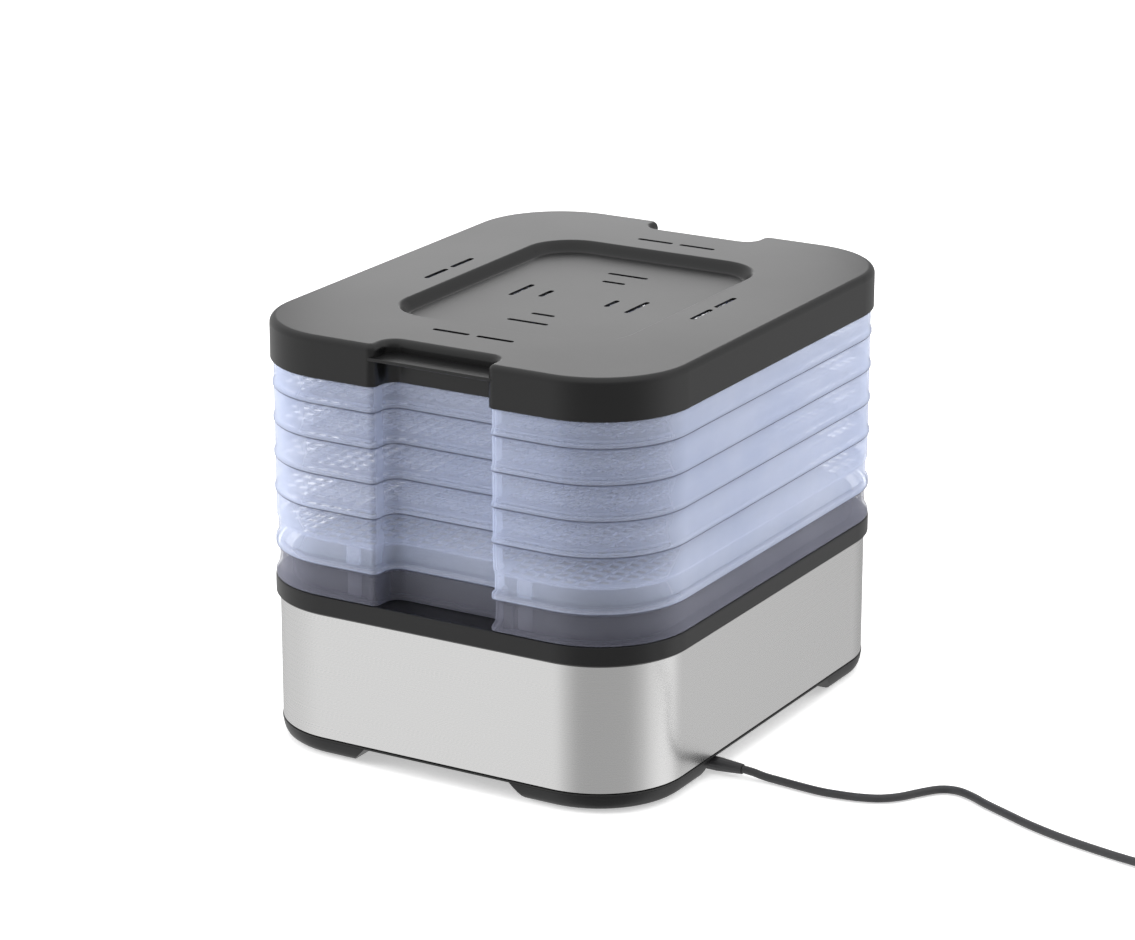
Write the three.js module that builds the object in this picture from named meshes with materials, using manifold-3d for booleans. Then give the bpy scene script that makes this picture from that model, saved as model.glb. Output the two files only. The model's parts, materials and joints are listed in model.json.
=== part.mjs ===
// Food dehydrator with a stack of five clear trays on a steel-wrapped fan base.
// Millimetres, +Z up, floor at z = 0, origin on the floor under the middle of the base.
// Front (controls) faces -Y, the cord leaves at the rear (+Y), the grip notches are on +X and -X.
import * as THREE from 'three';
import { mergeVertices } from 'three/addons/utils/BufferGeometryUtils.js';
import Module from 'manifold-3d';

const wasm = await Module();
wasm.setup();

// ---- Driving dimensions ------------------------------------------------------------------
const bodyX = 335;              // steel sleeve, outside, along X
const bodyY = 270;              // steel sleeve, outside, along Y
const cornerR = 56;             // plan radius of the sleeve's corners
const gap = 0.3;                // clearance between touching pieces
const cornerSteps = 5;          // facets on each big corner

const panLow = 1.0;             // underside of the pan's corner swells
const steelLow = 12;            // steel sleeve, lower edge
const steelTop = 91;            // steel sleeve, upper edge
const steelThick = 1.0;
const rimTop = 103.6;           // flat top of the black rim that the collar stands on
const rimOut = 2.5;             // how far the rim stands outside the steel
const plinthTop = 119;          // top of the black plinth inside the collar
const plinthIn = -8;            // plinth wall, measured from the steel outline
const collarTop = 122.5;
const trayPitch = 21.6;         // height that each upper tray adds to the stack
const firstTrayTop = 156.7;     // top of the tall bottom tray
const lidLow = 238;             // lower edge of the lid's skirt
const lidEdge = 260.1;          // where the lid's side wall turns into its top
const lidTop = 263.5;
const lidOut = 3.0;             // lid skirt outside the steel outline

const notchHalf = 40.7;         // grip notch, half width along Y
const notchWall = 149.5;        // grip notch, recessed wall along X
const notchR = 11;              // inner corners of the notch
const notchSteps = 2;

const wall = 1.6;               // clear plastic wall
const trayOut = 1.2;            // tray wall outside the steel outline
const beadOut = 2.4;            // bead round each tray's lower edge
const beadHigh = 2.6;
const ridgeHigh = 2.5;          // how far a tray's top ridge stands up inside the next one
const trayFloorUp = 3.6;        // floor mesh above the tray's lower edge
const trayFloorThick = 1.6;
const floorFit = 0.15;          // clearance round a tray's pressed-in floor

const plastic = 2.5;            // black moulded wall
const ductR = 55.5;             // air duct, outside
const grilleR = 55.6;
const deckHoleR = 56;
const motorR = 24;
const shaftR = 2;
const fanR = 47;
const fanHubR = 9;
const fanBlades = 7;

const panelX = 130;             // control panel, front flange
const panelZ = 50;
const panelMidZ = 53;
const knobX = 34;
const knobR = 17;
const reach = 152;              // knob face and gland tip, from the middle along Y
const rockerX = -38;
const lampX = -8;

const cordR = 2.4;
const cordX = 67.5;             // where the cord leaves, along X
const glandZ = 4.7;
const glandInnerY = 112;

// ---- Materials ----------------------------------------------------------------------------
const finish = (color, roughness, metalness = 0) =>
  new THREE.MeshStandardMaterial({ color, roughness, metalness });
const clearFinish = (color, opacity) =>
  new THREE.MeshStandardMaterial({ color, roughness: 0.15, opacity, transparent: true });
const steel = () => finish(0xb9b9b9, 0.35, 1);
const blackPlastic = () => finish(0x2b2b2b, 0.5);
const lidPlastic = () => finish(0x333333, 0.42);
const clearTray = () => clearFinish(0xc3cdea, 0.4);
const smokeCollar = () => clearFinish(0x7d8091, 0.5);
const rubber = () => finish(0x1c1c1c, 0.9);
const zincSteel = () => finish(0xa5a8ab, 0.4, 1);
const mica = () => finish(0xb8a888, 0.8);
const whiteNylon = () => finish(0xdedbd2, 0.6);
const copperLead = (color) => finish(color, 0.6);

// ---- Solids -------------------------------------------------------------------------------
function solid(geometry) {
  const bare = geometry.clone();
  bare.deleteAttribute('normal');
  bare.deleteAttribute('uv');
  const merged = mergeVertices(bare, 1e-4);
  return new wasm.Manifold(new wasm.Mesh({
    numProp: 3,
    vertProperties: new Float32Array(merged.attributes.position.array),
    triVerts: new Uint32Array(merged.index.array),
  }));
}

function geometryOf(manifold) {
  const mesh = manifold.getMesh();
  const geometry = new THREE.BufferGeometry();
  geometry.setAttribute('position', new THREE.BufferAttribute(mesh.vertProperties, 3));
  geometry.setIndex(new THREE.BufferAttribute(mesh.triVerts, 1));
  return geometry;
}

const joined = (pieces) => pieces.reduce((all, piece) => all.add(piece));
const cutBy = (body, tools) => tools.reduce((rest, tool) => rest.subtract(tool), body);

const object = new THREE.Group();

function addPart(name, shape, material) {
  const geometry = shape.isBufferGeometry ? shape : geometryOf(shape);
  geometry.computeVertexNormals();
  const mesh = new THREE.Mesh(geometry, material);
  mesh.name = name;
  object.add(mesh);
  return mesh;
}

function box(x0, x1, y0, y1, z0, z1) {
  const geometry = new THREE.BoxGeometry(x1 - x0, y1 - y0, z1 - z0);
  geometry.translate((x0 + x1) / 2, (y0 + y1) / 2, (z0 + z1) / 2);
  return geometry;
}

// A turned piece standing on Z: the profile lists [radius, z] from the axis back to the axis.
function turned(profile, sides, x = 0, y = 0) {
  const geometry = new THREE.LatheGeometry(profile.map(([r, z]) => new THREE.Vector2(r, z)), sides);
  geometry.rotateX(Math.PI / 2);
  geometry.translate(x, y, 0);
  return solid(geometry);
}
const rod = (r, z0, z1, sides, x = 0, y = 0) => turned([[0, z0], [r, z0], [r, z1], [0, z1]], sides, x, y);
const tubeRing = (rIn, rOut, z0, z1, sides, x = 0, y = 0) =>
  turned([[rIn, z0], [rOut, z0], [rOut, z1], [rIn, z1], [rIn, z0]], sides, x, y);

// The same, lying along Y at (x, z): the profile lists [radius, y].
function turnedAlongY(profile, sides, x, z) {
  const geometry = new THREE.LatheGeometry(profile.map(([r, y]) => new THREE.Vector2(r, y)), sides);
  geometry.translate(x, 0, z);
  return solid(geometry);
}

// ---- Plan outlines ------------------------------------------------------------------------
function arc(cx, cy, r, from, to, steps) {
  const points = [];
  for (let i = 0; i <= steps; i += 1) {
    const angle = THREE.MathUtils.degToRad(from + (to - from) * i / steps);
    points.push(new THREE.Vector2(cx + r * Math.cos(angle), cy + r * Math.sin(angle)));
  }
  return points;
}

// Rounded rectangle, moved outwards by `out`.
function plainOutline(out) {
  return roundedRect(bodyX / 2 + out, bodyY / 2 + out, cornerR + out, cornerSteps);
}

function roundedRect(halfX, halfY, r, steps) {
  return [
    ...arc(halfX - r, halfY - r, r, 0, 90, steps),
    ...arc(r - halfX, halfY - r, r, 90, 180, steps),
    ...arc(r - halfX, r - halfY, r, 180, 270, steps),
    ...arc(halfX - r, r - halfY, r, 270, 360, steps),
  ];
}

// The same outline with the two grip notches in its ends.
function notchedOutline(out) {
  const halfX = bodyX / 2 + out;
  const halfY = bodyY / 2 + out;
  const r = cornerR + out;
  const half = notchHalf - out;
  const wallX = notchWall + out;
  const inner = notchR - out;
  const end = [
    new THREE.Vector2(halfX, -half),
    ...arc(wallX + inner, inner - half, inner, 270, 180, notchSteps),
    ...arc(wallX + inner, half - inner, inner, 180, 90, notchSteps),
    new THREE.Vector2(halfX, half),
  ];
  const turnedEnd = end.map((p) => new THREE.Vector2(-p.x, -p.y));
  return [
    ...end,
    ...arc(halfX - r, halfY - r, r, 0, 90, cornerSteps),
    ...arc(r - halfX, halfY - r, r, 90, 180, cornerSteps),
    ...turnedEnd,
    ...arc(r - halfX, r - halfY, r, 180, 270, cornerSteps),
    ...arc(halfX - r, r - halfY, r, 270, 360, cornerSteps),
  ];
}

function fromTriangles(positions, index) {
  const geometry = new THREE.BufferGeometry();
  geometry.setAttribute('position', new THREE.BufferAttribute(new Float32Array(positions), 3));
  geometry.setIndex(index);
  return geometry;
}

function layers(levels, outline) {
  const positions = [];
  for (const [out, z] of levels) {
    for (const p of outline(out)) positions.push(p.x, p.y, z);
  }
  return positions;
}

function bandIndex(index, a, b, count) {
  for (let j = 0; j < count; j += 1) {
    const k = (j + 1) % count;
    index.push(a * count + j, a * count + k, b * count + k);
    index.push(a * count + j, b * count + k, b * count + j);
  }
}

// A closed band round an outline: the profile lists [out, z] going up the outside and down the inside.
function band(profile, outline) {
  const count = outline(0).length;
  const index = [];
  for (let i = 0; i < profile.length; i += 1) bandIndex(index, i, (i + 1) % profile.length, count);
  return solid(fromTriangles(layers(profile, outline), index));
}

// A full block through several outlines, from the lowest level up.
function block(levels, outline) {
  const count = outline(0).length;
  const index = [];
  for (let i = 0; i + 1 < levels.length; i += 1) bandIndex(index, i, i + 1, count);
  const last = (levels.length - 1) * count;
  for (const [a, b, c] of THREE.ShapeUtils.triangulateShape(outline(levels[0][0]), [])) index.push(c, b, a);
  for (const [a, b, c] of THREE.ShapeUtils.triangulateShape(outline(levels.at(-1)[0]), [])) {
    index.push(last + a, last + b, last + c);
  }
  return solid(fromTriangles(layers(levels, outline), index));
}

// A straight-sided block on an outline, which is a list of points.
function prism(outside, z0, z1) {
  const shape = new THREE.Shape(outside);
  const geometry = new THREE.ExtrudeGeometry(shape, { depth: z1 - z0, bevelEnabled: false });
  geometry.translate(0, 0, z0);
  return solid(geometry);
}

// A flat plate with openings.
const plate = (outside, holes, z0, z1) =>
  cutBy(prism(outside, z0, z1), holes.map((hole) => prism(hole, z0 - 1, z1 + 1)));

const rectangle = (cx, cy, lengthX, lengthY) => [
  new THREE.Vector2(cx - lengthX / 2, cy - lengthY / 2),
  new THREE.Vector2(cx + lengthX / 2, cy - lengthY / 2),
  new THREE.Vector2(cx + lengthX / 2, cy + lengthY / 2),
  new THREE.Vector2(cx - lengthX / 2, cy + lengthY / 2),
];

// A slot with round ends, lengthX by lengthY.
function slot(cx, cy, lengthX, lengthY) {
  const r = Math.min(lengthX, lengthY) / 2;
  return roundedRect(lengthX / 2, lengthY / 2, r - 0.01, 1).map((p) => new THREE.Vector2(p.x + cx, p.y + cy));
}

const circle = (r, sides) => arc(0, 0, r, 0, 360, sides).slice(0, -1);
const fourCorners = (make) => [[1, 1], [-1, 1], [-1, -1], [1, -1]].map(([sx, sy], i) => make(sx, sy, i + 1));

// ---- Base pan and feet --------------------------------------------------------------------
const postX = 105;              // screw posts between pan and deck
const postY = 72;
const screwR = 1.8;
const screwHeadR = 3.6;
const footX = 132;
const footY = 100;
const footR = 10;
const footHigh = 2.2;
const panFloorLow = 6.5;
const panFloorTop = 9;
const panLipLow = 10.6;         // thin lip that the steel stands on
const panLipTop = steelLow - gap;
const swellInX = 86;            // a corner swell starts this far from the middle
const swellInY = 52;

const cornerBoxes = (fromX, fromY, z0, z1) =>
  joined(fourCorners((sx, sy) => solid(box(
    Math.min(sx * fromX, sx * bodyX), Math.max(sx * fromX, sx * bodyX),
    Math.min(sy * fromY, sy * bodyY), Math.max(sy * fromY, sy * bodyY), z0, z1))));

function basePan() {
  const rimmed = block([[-10, panFloorLow], [0.4, panLipLow], [0.4, panLipTop]], plainOutline)
    .add(block([[-1.4, 11], [-1.4, 26]], plainOutline));
  const inside = [block([[-8.5, panFloorTop], [-3.4, 12.2], [-3.4, 27]], plainOutline)];
  const swells = block([[-6, panLow], [-2.2, 2.4], [0, 7], [0.2, 10.9]], plainOutline)
    .intersect(cornerBoxes(swellInX, swellInY, 0, 10.8));
  const hollows = block([[-12, panLow + plastic], [-7, 12]], plainOutline)
    .intersect(cornerBoxes(swellInX + plastic, swellInY + plastic, 0, 12));
  const bosses = fourCorners((sx, sy) => rod(7, 2, panFloorTop, 8, sx * postX, sy * postY));
  const bracketPosts = [-1, 1].map((side) => rod(6, 8, 15.7, 8, side * bracketX));
  const body = cutBy(rimmed, inside).add(swells).subtract(hollows);
  const cuts = [
    ...fourCorners((sx, sy) => rod(screwHeadR + 1, 0, 5.2, 8, sx * postX, sy * postY)),
    ...fourCorners((sx, sy) => rod(screwR + gap, 0, 12, 8, sx * postX, sy * postY)),
    ...fourCorners((sx, sy) => rod(footR + gap, 0, footHigh + gap, 12, sx * footX, sy * footY)),
    ...[-35, -25, -15, -5, 5, 15, 25, 35].map((x) => solid(box(x - 2.5, x + 2.5, -30, 30, 5, 12))),
    solid(box(cordX - 5.2, cordX + 5.2, 100, bodyY, 0, 9.3)),
  ];
  return cutBy(joined([body, ...bosses, ...bracketPosts]), cuts);
}

const bracketX = 62;            // motor bracket, distance of its two screws from the middle

addPart('base_pan', basePan(), blackPlastic());

fourCorners((sx, sy, i) => addPart(`foot_pad_${i}`,
  turned([[0, 0], [footR - 1, 0], [footR, 1], [footR, footHigh], [0, footHigh]], 12, sx * footX, sy * footY),
  rubber()));

// ---- Steel sleeve -------------------------------------------------------------------------
const windowX = panelX - 5;     // cut-out in the sleeve for the control panel
const windowZ = panelZ - 5;

addPart('steel_wrap', band([[0, steelLow], [0, steelTop], [-steelThick, steelTop], [-steelThick, steelLow]],
  plainOutline).subtract(solid(box(-windowX / 2, windowX / 2, -bodyY / 2 - 5, -bodyY / 2 + 5,
  panelMidZ - windowZ / 2, panelMidZ + windowZ / 2))), steel());

// ---- Deck: rim, ledge, plinth and screw posts in one black moulding ------------------------
function baseDeck() {
  const shell = joined([
    block([[rimOut, steelTop + gap], [rimOut, rimTop]], plainOutline),
    block([[-1.4, 78], [-1.4, steelTop + 2]], plainOutline),
    block([[plinthIn, rimTop - 1], [plinthIn, plinthTop]], notchedOutline),
  ]);
  const inside = joined([
    block([[-4, 77], [-4, rimTop - plastic]], plainOutline),
    block([[plinthIn - plastic, rimTop - 8], [plinthIn - plastic, plinthTop - plastic]], notchedOutline),
    rod(deckHoleR, rimTop, plinthTop + 1, 28),
  ]);
  const cheeks = [-1, 1].flatMap((sx) => [-1, 1].map((sy) => solid(box(
    Math.min(sx * 144, sx * 162), Math.max(sx * 144, sx * 162),
    Math.min(sy * 43.9, sy * 50), Math.max(sy * 43.9, sy * 50), rimTop - 1, plinthTop - 0.5))));
  const posts = fourCorners((sx, sy) => rod(5, panFloorTop + gap, plinthTop - 1, 8, sx * postX, sy * postY));
  const pilots = fourCorners((sx, sy) => rod(screwR + gap, 0, 26, 8, sx * postX, sy * postY));
  return cutBy(joined([shell.subtract(inside), ...cheeks, ...posts]), pilots);
}
addPart('base_deck', baseDeck(), blackPlastic());

fourCorners((sx, sy, i) => addPart(`pan_screw_${i}`, turned([[0, 2.9], [screwHeadR, 2.9],
  [screwHeadR, 4.9], [screwR, 4.9], [screwR, 22], [0, 24]], 8, sx * postX, sy * postY), zincSteel()));

// ---- Outlet grille, duct and heater --------------------------------------------------------
function outletGrille() {
  const slots = [];
  const count = 10;
  for (let i = 0; i < count; i += 1) {
    const angle = 2 * Math.PI * i / count;
    for (const [from, to, half] of [[13, 30, 3.0], [34, 50, 6.4]]) {
      slots.push([[from, -half], [to, -half], [to, half], [from, half]].map(([x, y]) =>
        new THREE.Vector2(x, y).rotateAround(new THREE.Vector2(), angle)));
    }
  }
  return plate(circle(grilleR, 28), slots, plinthTop - 2.2, plinthTop);
}
addPart('outlet_grille', outletGrille(), blackPlastic());
addPart('air_duct', tubeRing(ductR - 1.5, ductR, 54, plinthTop - 2.8, 28), zincSteel());

const heaterLow = 78;
const heaterHigh = 96;
const heaterMid = (heaterLow + heaterHigh) / 2;
const heaterRings = { inner: 24, outer: 40 };
const coilR = 2.6;
const ring = (r, section) => turned(arc(r, heaterMid, section, 0, 360, 6).map((p) => [p.x, p.y]), 20);

function heaterFrame() {
  const half = ductR - 1.5 - gap;
  const vane = (angle) => {
    const geometry = box(-half, half, -0.7, 0.7, heaterLow, heaterHigh);
    geometry.rotateZ(angle);
    return solid(geometry);
  };
  return cutBy(joined([vane(0), vane(Math.PI / 2)]),
    Object.values(heaterRings).map((r) => ring(r, coilR + gap)));
}
addPart('heater_frame', heaterFrame(), mica());
addPart('heater_coil_inner', ring(heaterRings.inner, coilR), zincSteel());
addPart('heater_coil_outer', ring(heaterRings.outer, coilR), zincSteel());
addPart('thermal_cutout', box(27.5, 35.5, 1.5, 6.5, heaterMid - 6, heaterMid + 6), whiteNylon());

// ---- Motor and fan -------------------------------------------------------------------------
const bracketTop = 18.5;
const motorTop = 50;
const bearingDeep = 6;
const fanLow = 58;
const fanHigh = 71;

function motorBracket() {
  const bar = solid(box(-bracketX - 9, bracketX + 9, -13, 13, 16, bracketTop));
  return cutBy(bar, [-1, 1].map((side) => rod(screwR + gap, 10, 22, 8, side * bracketX)));
}
addPart('motor_bracket', motorBracket(), zincSteel());
[-1, 1].forEach((side, i) => addPart(`bracket_screw_${i + 1}`, turned([[0, 16.2], [screwR, 16.2],
  [screwR, bracketTop + gap], [screwHeadR, bracketTop + gap], [screwHeadR, 20.8], [0, 20.8]],
8, side * bracketX), zincSteel()));

const motorLow = bracketTop + gap;
addPart('fan_motor', turned([[0, motorLow], [motorR, motorLow], [motorR, motorTop - 4],
  [motorR - 4, motorTop - 4], [motorR - 4, motorTop - 2], [7, motorTop - 2], [7, motorTop],
  [shaftR + gap, motorTop], [shaftR + gap, motorTop - bearingDeep], [0, motorTop - bearingDeep]], 14),
zincSteel());
addPart('motor_shaft', rod(shaftR, motorTop - bearingDeep + gap, fanHigh - 2, 10), zincSteel());

function fanImpeller() {
  const hub = turned([[shaftR + gap, fanLow], [fanHubR, fanLow], [fanHubR, fanHigh], [0, fanHigh],
    [0, fanHigh - 1.5], [shaftR + gap, fanHigh - 1.5], [shaftR + gap, fanLow]], 14);
  const blades = [];
  for (let i = 0; i < fanBlades; i += 1) {
    const geometry = box(fanHubR - 2, fanR, -8, 8, -0.8, 0.8);
    geometry.rotateX(THREE.MathUtils.degToRad(32));
    geometry.translate(0, 0, (fanLow + fanHigh) / 2);
    geometry.rotateZ(2 * Math.PI * i / fanBlades);
    blades.push(solid(geometry));
  }
  const bore = rod(shaftR + gap, fanLow - 2, fanHigh - 1.5, 14);
  return joined([hub, ...blades]).subtract(bore);
}
addPart('fan_impeller', fanImpeller(), blackPlastic());

// ---- Control panel on the front ------------------------------------------------------------
const frontY = -bodyY / 2;
const panelOutY = frontY - 1.8;
const panelInY = frontY + 4.5;
const knobShaftR = 3;
const lampR = 2.8;
const rockerHalfX = 7.6;
const rockerHalfZ = 10.4;
const tubHalfX = 8.4;
const tubHalfZ = 11.4;
const switchHalfX = 10.4;
const switchHalfZ = 13.4;

function controlPanel() {
  const flange = solid(box(-panelX / 2, panelX / 2, panelOutY, frontY - gap,
    panelMidZ - panelZ / 2, panelMidZ + panelZ / 2));
  const body = solid(box(-windowX / 2 + gap, windowX / 2 - gap, panelOutY, panelInY,
    panelMidZ - windowZ / 2 + gap, panelMidZ + windowZ / 2 - gap));
  return cutBy(flange.add(body), [
    turnedAlongY([[0, -160], [knobShaftR + gap, -160], [knobShaftR + gap, -120], [0, -120]], 12, knobX, panelMidZ),
    turnedAlongY([[0, -160], [lampR + gap, -160], [lampR + gap, -120], [0, -120]], 12, lampX, panelMidZ),
    solid(box(rockerX - switchHalfX - gap, rockerX + switchHalfX + gap, -160, -120,
      panelMidZ - switchHalfZ - gap, panelMidZ + switchHalfZ + gap)),
  ]);
}
addPart('control_panel', controlPanel(), blackPlastic());

const knobBackY = panelOutY - gap;
const knobSkirtR = 20;
const boreEndY = -reach + 4;
addPart('temperature_knob', turnedAlongY([[0, -reach], [knobR - 1.5, -reach], [knobR, -reach + 1.5],
  [knobR, knobBackY - 3], [knobSkirtR, knobBackY - 3], [knobSkirtR, knobBackY],
  [knobShaftR + gap, knobBackY], [knobShaftR + gap, boreEndY], [0, boreEndY]], 16, knobX, panelMidZ),
blackPlastic());
const thermostatFrontY = panelInY + gap;
addPart('knob_shaft', turnedAlongY([[0, boreEndY + gap], [knobShaftR, boreEndY + gap],
  [knobShaftR, thermostatFrontY], [0, thermostatFrontY]], 12, knobX, panelMidZ), zincSteel());
addPart('thermostat_body', box(knobX - 14, knobX + 14, thermostatFrontY + gap, -106,
  panelMidZ - 13, panelMidZ + 13), whiteNylon());
addPart('pilot_lamp', turnedAlongY([[0, panelOutY - 1.2], [lampR - 0.8, panelOutY - 1.2],
  [lampR, panelOutY - 0.4], [lampR, -124], [0, -124]], 12, lampX, panelMidZ), clearFinish(0xd06a1c, 0.8));

function switchBody() {
  const bezel = solid(box(rockerX - 12.4, rockerX + 12.4, panelOutY - 1.8, panelOutY - gap,
    panelMidZ - 15.4, panelMidZ + 15.4));
  const tub = solid(box(rockerX - switchHalfX, rockerX + switchHalfX, panelOutY - 1, -116,
    panelMidZ - switchHalfZ, panelMidZ + switchHalfZ));
  const opening = solid(box(rockerX - tubHalfX, rockerX + tubHalfX, -160, frontY + 5.5,
    panelMidZ - tubHalfZ, panelMidZ + tubHalfZ));
  return bezel.add(tub).subtract(opening);
}
addPart('switch_body', switchBody(), blackPlastic());

const rockerAxisY = panelOutY - 0.2;
const rockerTilt = 9;           // degrees each side of the middle
function powerRocker() {
  const section = new THREE.Shape([[-rockerHalfZ, 2.4], [0, 1.0], [rockerHalfZ, 2.4], [9.8, -2.8], [0, -4.6],
    [-9.8, -2.8]].reverse().map(([up, outwards]) => new THREE.Vector2(up, outwards)));
  const geometry = new THREE.ExtrudeGeometry(section, { depth: 2 * rockerHalfX, bevelEnabled: false });
  geometry.translate(0, 0, -rockerHalfX);
  const upright = new THREE.Matrix4().makeBasis(new THREE.Vector3(0, 0, 1), new THREE.Vector3(0, -1, 0),
    new THREE.Vector3(1, 0, 0));
  geometry.applyMatrix4(upright);
  geometry.rotateX(THREE.MathUtils.degToRad(-rockerTilt));
  geometry.translate(rockerX, rockerAxisY, panelMidZ);
  return solid(geometry);
}
addPart('power_rocker', powerRocker(), blackPlastic());

// ---- Cord entry inside the base --------------------------------------------------------------
const glandR = 4.3;
const glandTipR = 3.1;
addPart('cord_gland', turnedAlongY([[0, glandInnerY], [glandR, glandInnerY], [glandR, 136],
  [glandTipR, reach], [0, reach]], 14, cordX, glandZ), rubber());
const clampLow = panFloorTop + gap;
addPart('cord_clamp', box(cordX - 13, cordX + 13, 116, 123, clampLow, clampLow + 2.5), whiteNylon());
[-1, 1].forEach((side, i) => addPart(`clamp_screw_${i + 1}`, turned([[0, clampLow + 2.8],
  [2.8, clampLow + 2.8], [2.4, clampLow + 4.4], [0, clampLow + 4.6]], 8, cordX + side * 9, 119.5), zincSteel()));
addPart('terminal_block', box(cordX - 12, cordX + 12, 76, 92, panFloorTop + gap, 23), whiteNylon());

function cordTube(points, radius, sides, steps) {
  const path = new THREE.CatmullRomCurve3(points.map(([x, y, z]) => new THREE.Vector3(x, y, z)),
    false, 'centripetal');
  const section = new THREE.Shape(circle(radius, sides));
  return solid(new THREE.ExtrudeGeometry(section, { steps, bevelEnabled: false, extrudePath: path }));
}
addPart('inner_cord', cordTube([[cordX, glandInnerY - gap, glandZ], [cordX, 108, 5.2], [cordX, 103, 10],
  [cordX, 98, 15.6], [cordX, 93, 16]], cordR, 8, 8), copperLead(0x222222));
addPart('switch_lead', cordTube([[cordX - 8, 75, 18], [cordX - 8, 69, 18], [30, 62, 26], [-50, 66, 28],
  [-85, 30, 30], [-85, -50, 34], [-60, -90, 44], [rockerX, -108, panelMidZ], [rockerX, -115, panelMidZ]],
1.3, 6, 18), copperLead(0x7a3b1d));
addPart('thermostat_lead', cordTube([[cordX + 8, 75, 18], [cordX + 8, 69, 18], [88, 20, 28],
  [84, -50, 34], [58, -88, 46], [knobX, -98, panelMidZ], [knobX, -105, panelMidZ]],
1.3, 6, 14), copperLead(0x2d4f8f));

// ---- Clear collar, trays and lid ---------------------------------------------------------------
const ridgeOut = trayOut - wall - gap;          // outside of a tray's top ridge
const ridgeIn = ridgeOut - 1.2;

const collarBase = rimTop + gap;
addPart('collar_ring', band([[2.2, collarBase], [0, collarBase + 5], [-0.4, collarTop - gap],
  [-1.7, collarTop - gap], [-1.7, collarTop + 2.2], [-2.9, collarTop + 2.2], [-2.9, 112],
  [0.6, collarBase]], notchedOutline), smokeCollar());

const floorSlotsX = 8;
const floorSlotsY = 2;
const slotPitchX = 34.5;
const slotPitchY = 112;
function trayFloor(z, wallInside) {
  const holes = [];
  for (let i = 0; i < floorSlotsX; i += 1) {
    for (let j = 0; j < floorSlotsY; j += 1) {
      const x = (i - (floorSlotsX - 1) / 2) * slotPitchX;
      const y = (j - (floorSlotsY - 1) / 2) * slotPitchY;
      holes.push(rectangle(x, y, slotPitchX - 6, slotPitchY - 6));
    }
  }
  return plate(notchedOutline(wallInside - floorFit), holes, z, z + trayFloorThick);
}

function traySides(low, top) {
  return band([[beadOut, low + gap], [beadOut, low + beadHigh], [trayOut, low + beadHigh + 1],
    [trayOut, top], [ridgeOut, top], [ridgeOut, top + ridgeHigh], [ridgeIn, top + ridgeHigh],
    [trayOut - wall, top - 4.5], [trayOut - wall, low + gap]], notchedOutline);
}

const narrow = 0.2;             // foot of the tall bottom tray, outside the steel outline
const firstFloor = 137;
function bottomTraySides() {
  return band([[2.0, collarTop], [2.0, collarTop + 4], [narrow, collarTop + 5.5], [narrow, 139],
    [trayOut, 141], [trayOut, firstTrayTop], [ridgeOut, firstTrayTop], [ridgeOut, firstTrayTop + ridgeHigh],
    [ridgeIn, firstTrayTop + ridgeHigh], [trayOut - wall, firstTrayTop - 4.5], [trayOut - wall, 141],
    [narrow - wall, 139], [narrow - wall, collarTop]], notchedOutline);
}
addPart('tray_1', bottomTraySides(), clearTray());
addPart('tray_1_floor', trayFloor(firstFloor, narrow - wall), clearTray());
for (let i = 0; i < 4; i += 1) {
  const low = firstTrayTop + i * trayPitch;
  addPart(`tray_${i + 2}`, traySides(low, low + trayPitch), clearTray());
  addPart(`tray_${i + 2}_floor`, trayFloor(low + trayFloorUp, trayOut - wall), clearTray());
}

const recessX = 102;            // lid recess, half size at its lip
const recessY = 78;
const recessR = 30;
const recessDeep = 6.7;
const recessRun = 5;            // how far the recess wall slopes inwards
const slotWide = 3.4;
const ledgeTop = 256;           // ledge across each grip notch, flush with the lid's skirt
const ledgeThick = 2;
const ledgeHalf = 42;

function lidSlots() {
  const cuts = [];
  for (const side of [-1, 1]) {
    for (const half of [-1, 1]) {
      cuts.push(slot(side * 122, half * 15, slotWide, 25), slot(half * 15, side * 92.6, 25, slotWide));
    }
    cuts.push(slot(side * 42.5, 0, slotWide, 16), slot(0, side * 23, 16, slotWide));
    cuts.push(slot(side * 60.5, 0, slotWide, 28), slot(0, side * 40.5, 28, slotWide));
  }
  return cuts.map((outline) => prism(outline, 250, 270));
}

function lid() {
  const plateLow = lidTop - 2.6;
  const shelf = firstTrayTop + 4 * trayPitch + gap;
  const shell = block([[lidOut, lidLow], [lidOut, lidEdge], [lidOut - 1.6, lidTop - 1], [-1, lidTop]],
    notchedOutline);
  const inside = joined([
    block([[1.5, lidLow - 1], [1.5, shelf]], notchedOutline),
    block([[0.6, shelf - 1], [0.6, plateLow]], notchedOutline),
  ]);
  const recess = (out) => roundedRect(recessX + out, recessY + out, recessR + out, cornerSteps);
  const floorZ = lidTop - recessDeep;
  const well = block([[2 - recessRun, floorZ - 2.5], [2, lidTop - 1]], recess);
  const hollow = block([[-recessRun, floorZ], [0, lidTop], [0, lidTop + 2]], recess);
  const ledgeBack = notchWall + lidOut - 1;
  const ledgeFront = bodyX / 2 + lidOut;
  const ledges = [-1, 1].map((side) => solid(box(Math.min(side * ledgeBack, side * ledgeFront),
    Math.max(side * ledgeBack, side * ledgeFront), -ledgeHalf, ledgeHalf, ledgeTop - ledgeThick, ledgeTop)));
  return cutBy(joined([shell.subtract(inside), well, ...ledges]), [hollow, ...lidSlots()]);
}
addPart('lid', lid(), lidPlastic());

// ---- Power cord on the floor, coiled at its far end ---------------------------------------------
const cordLie = cordR + 0.1;    // height of the cord's middle where it lies on the floor
const coilX = 50;
const coilY = 442;
const coilMeanR = 26.5;
const coilColumns = 3;
const coilLow = 1.0;            // underside of the coil, which lies on its tie
const coilInR = coilMeanR - coilColumns * cordR - gap;
const coilOutR = coilMeanR + coilColumns * cordR + gap;
const coilTop = coilLow + 4 * cordR + 0.2;
const plugY = 476;
const plugZ = 6.9;

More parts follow.
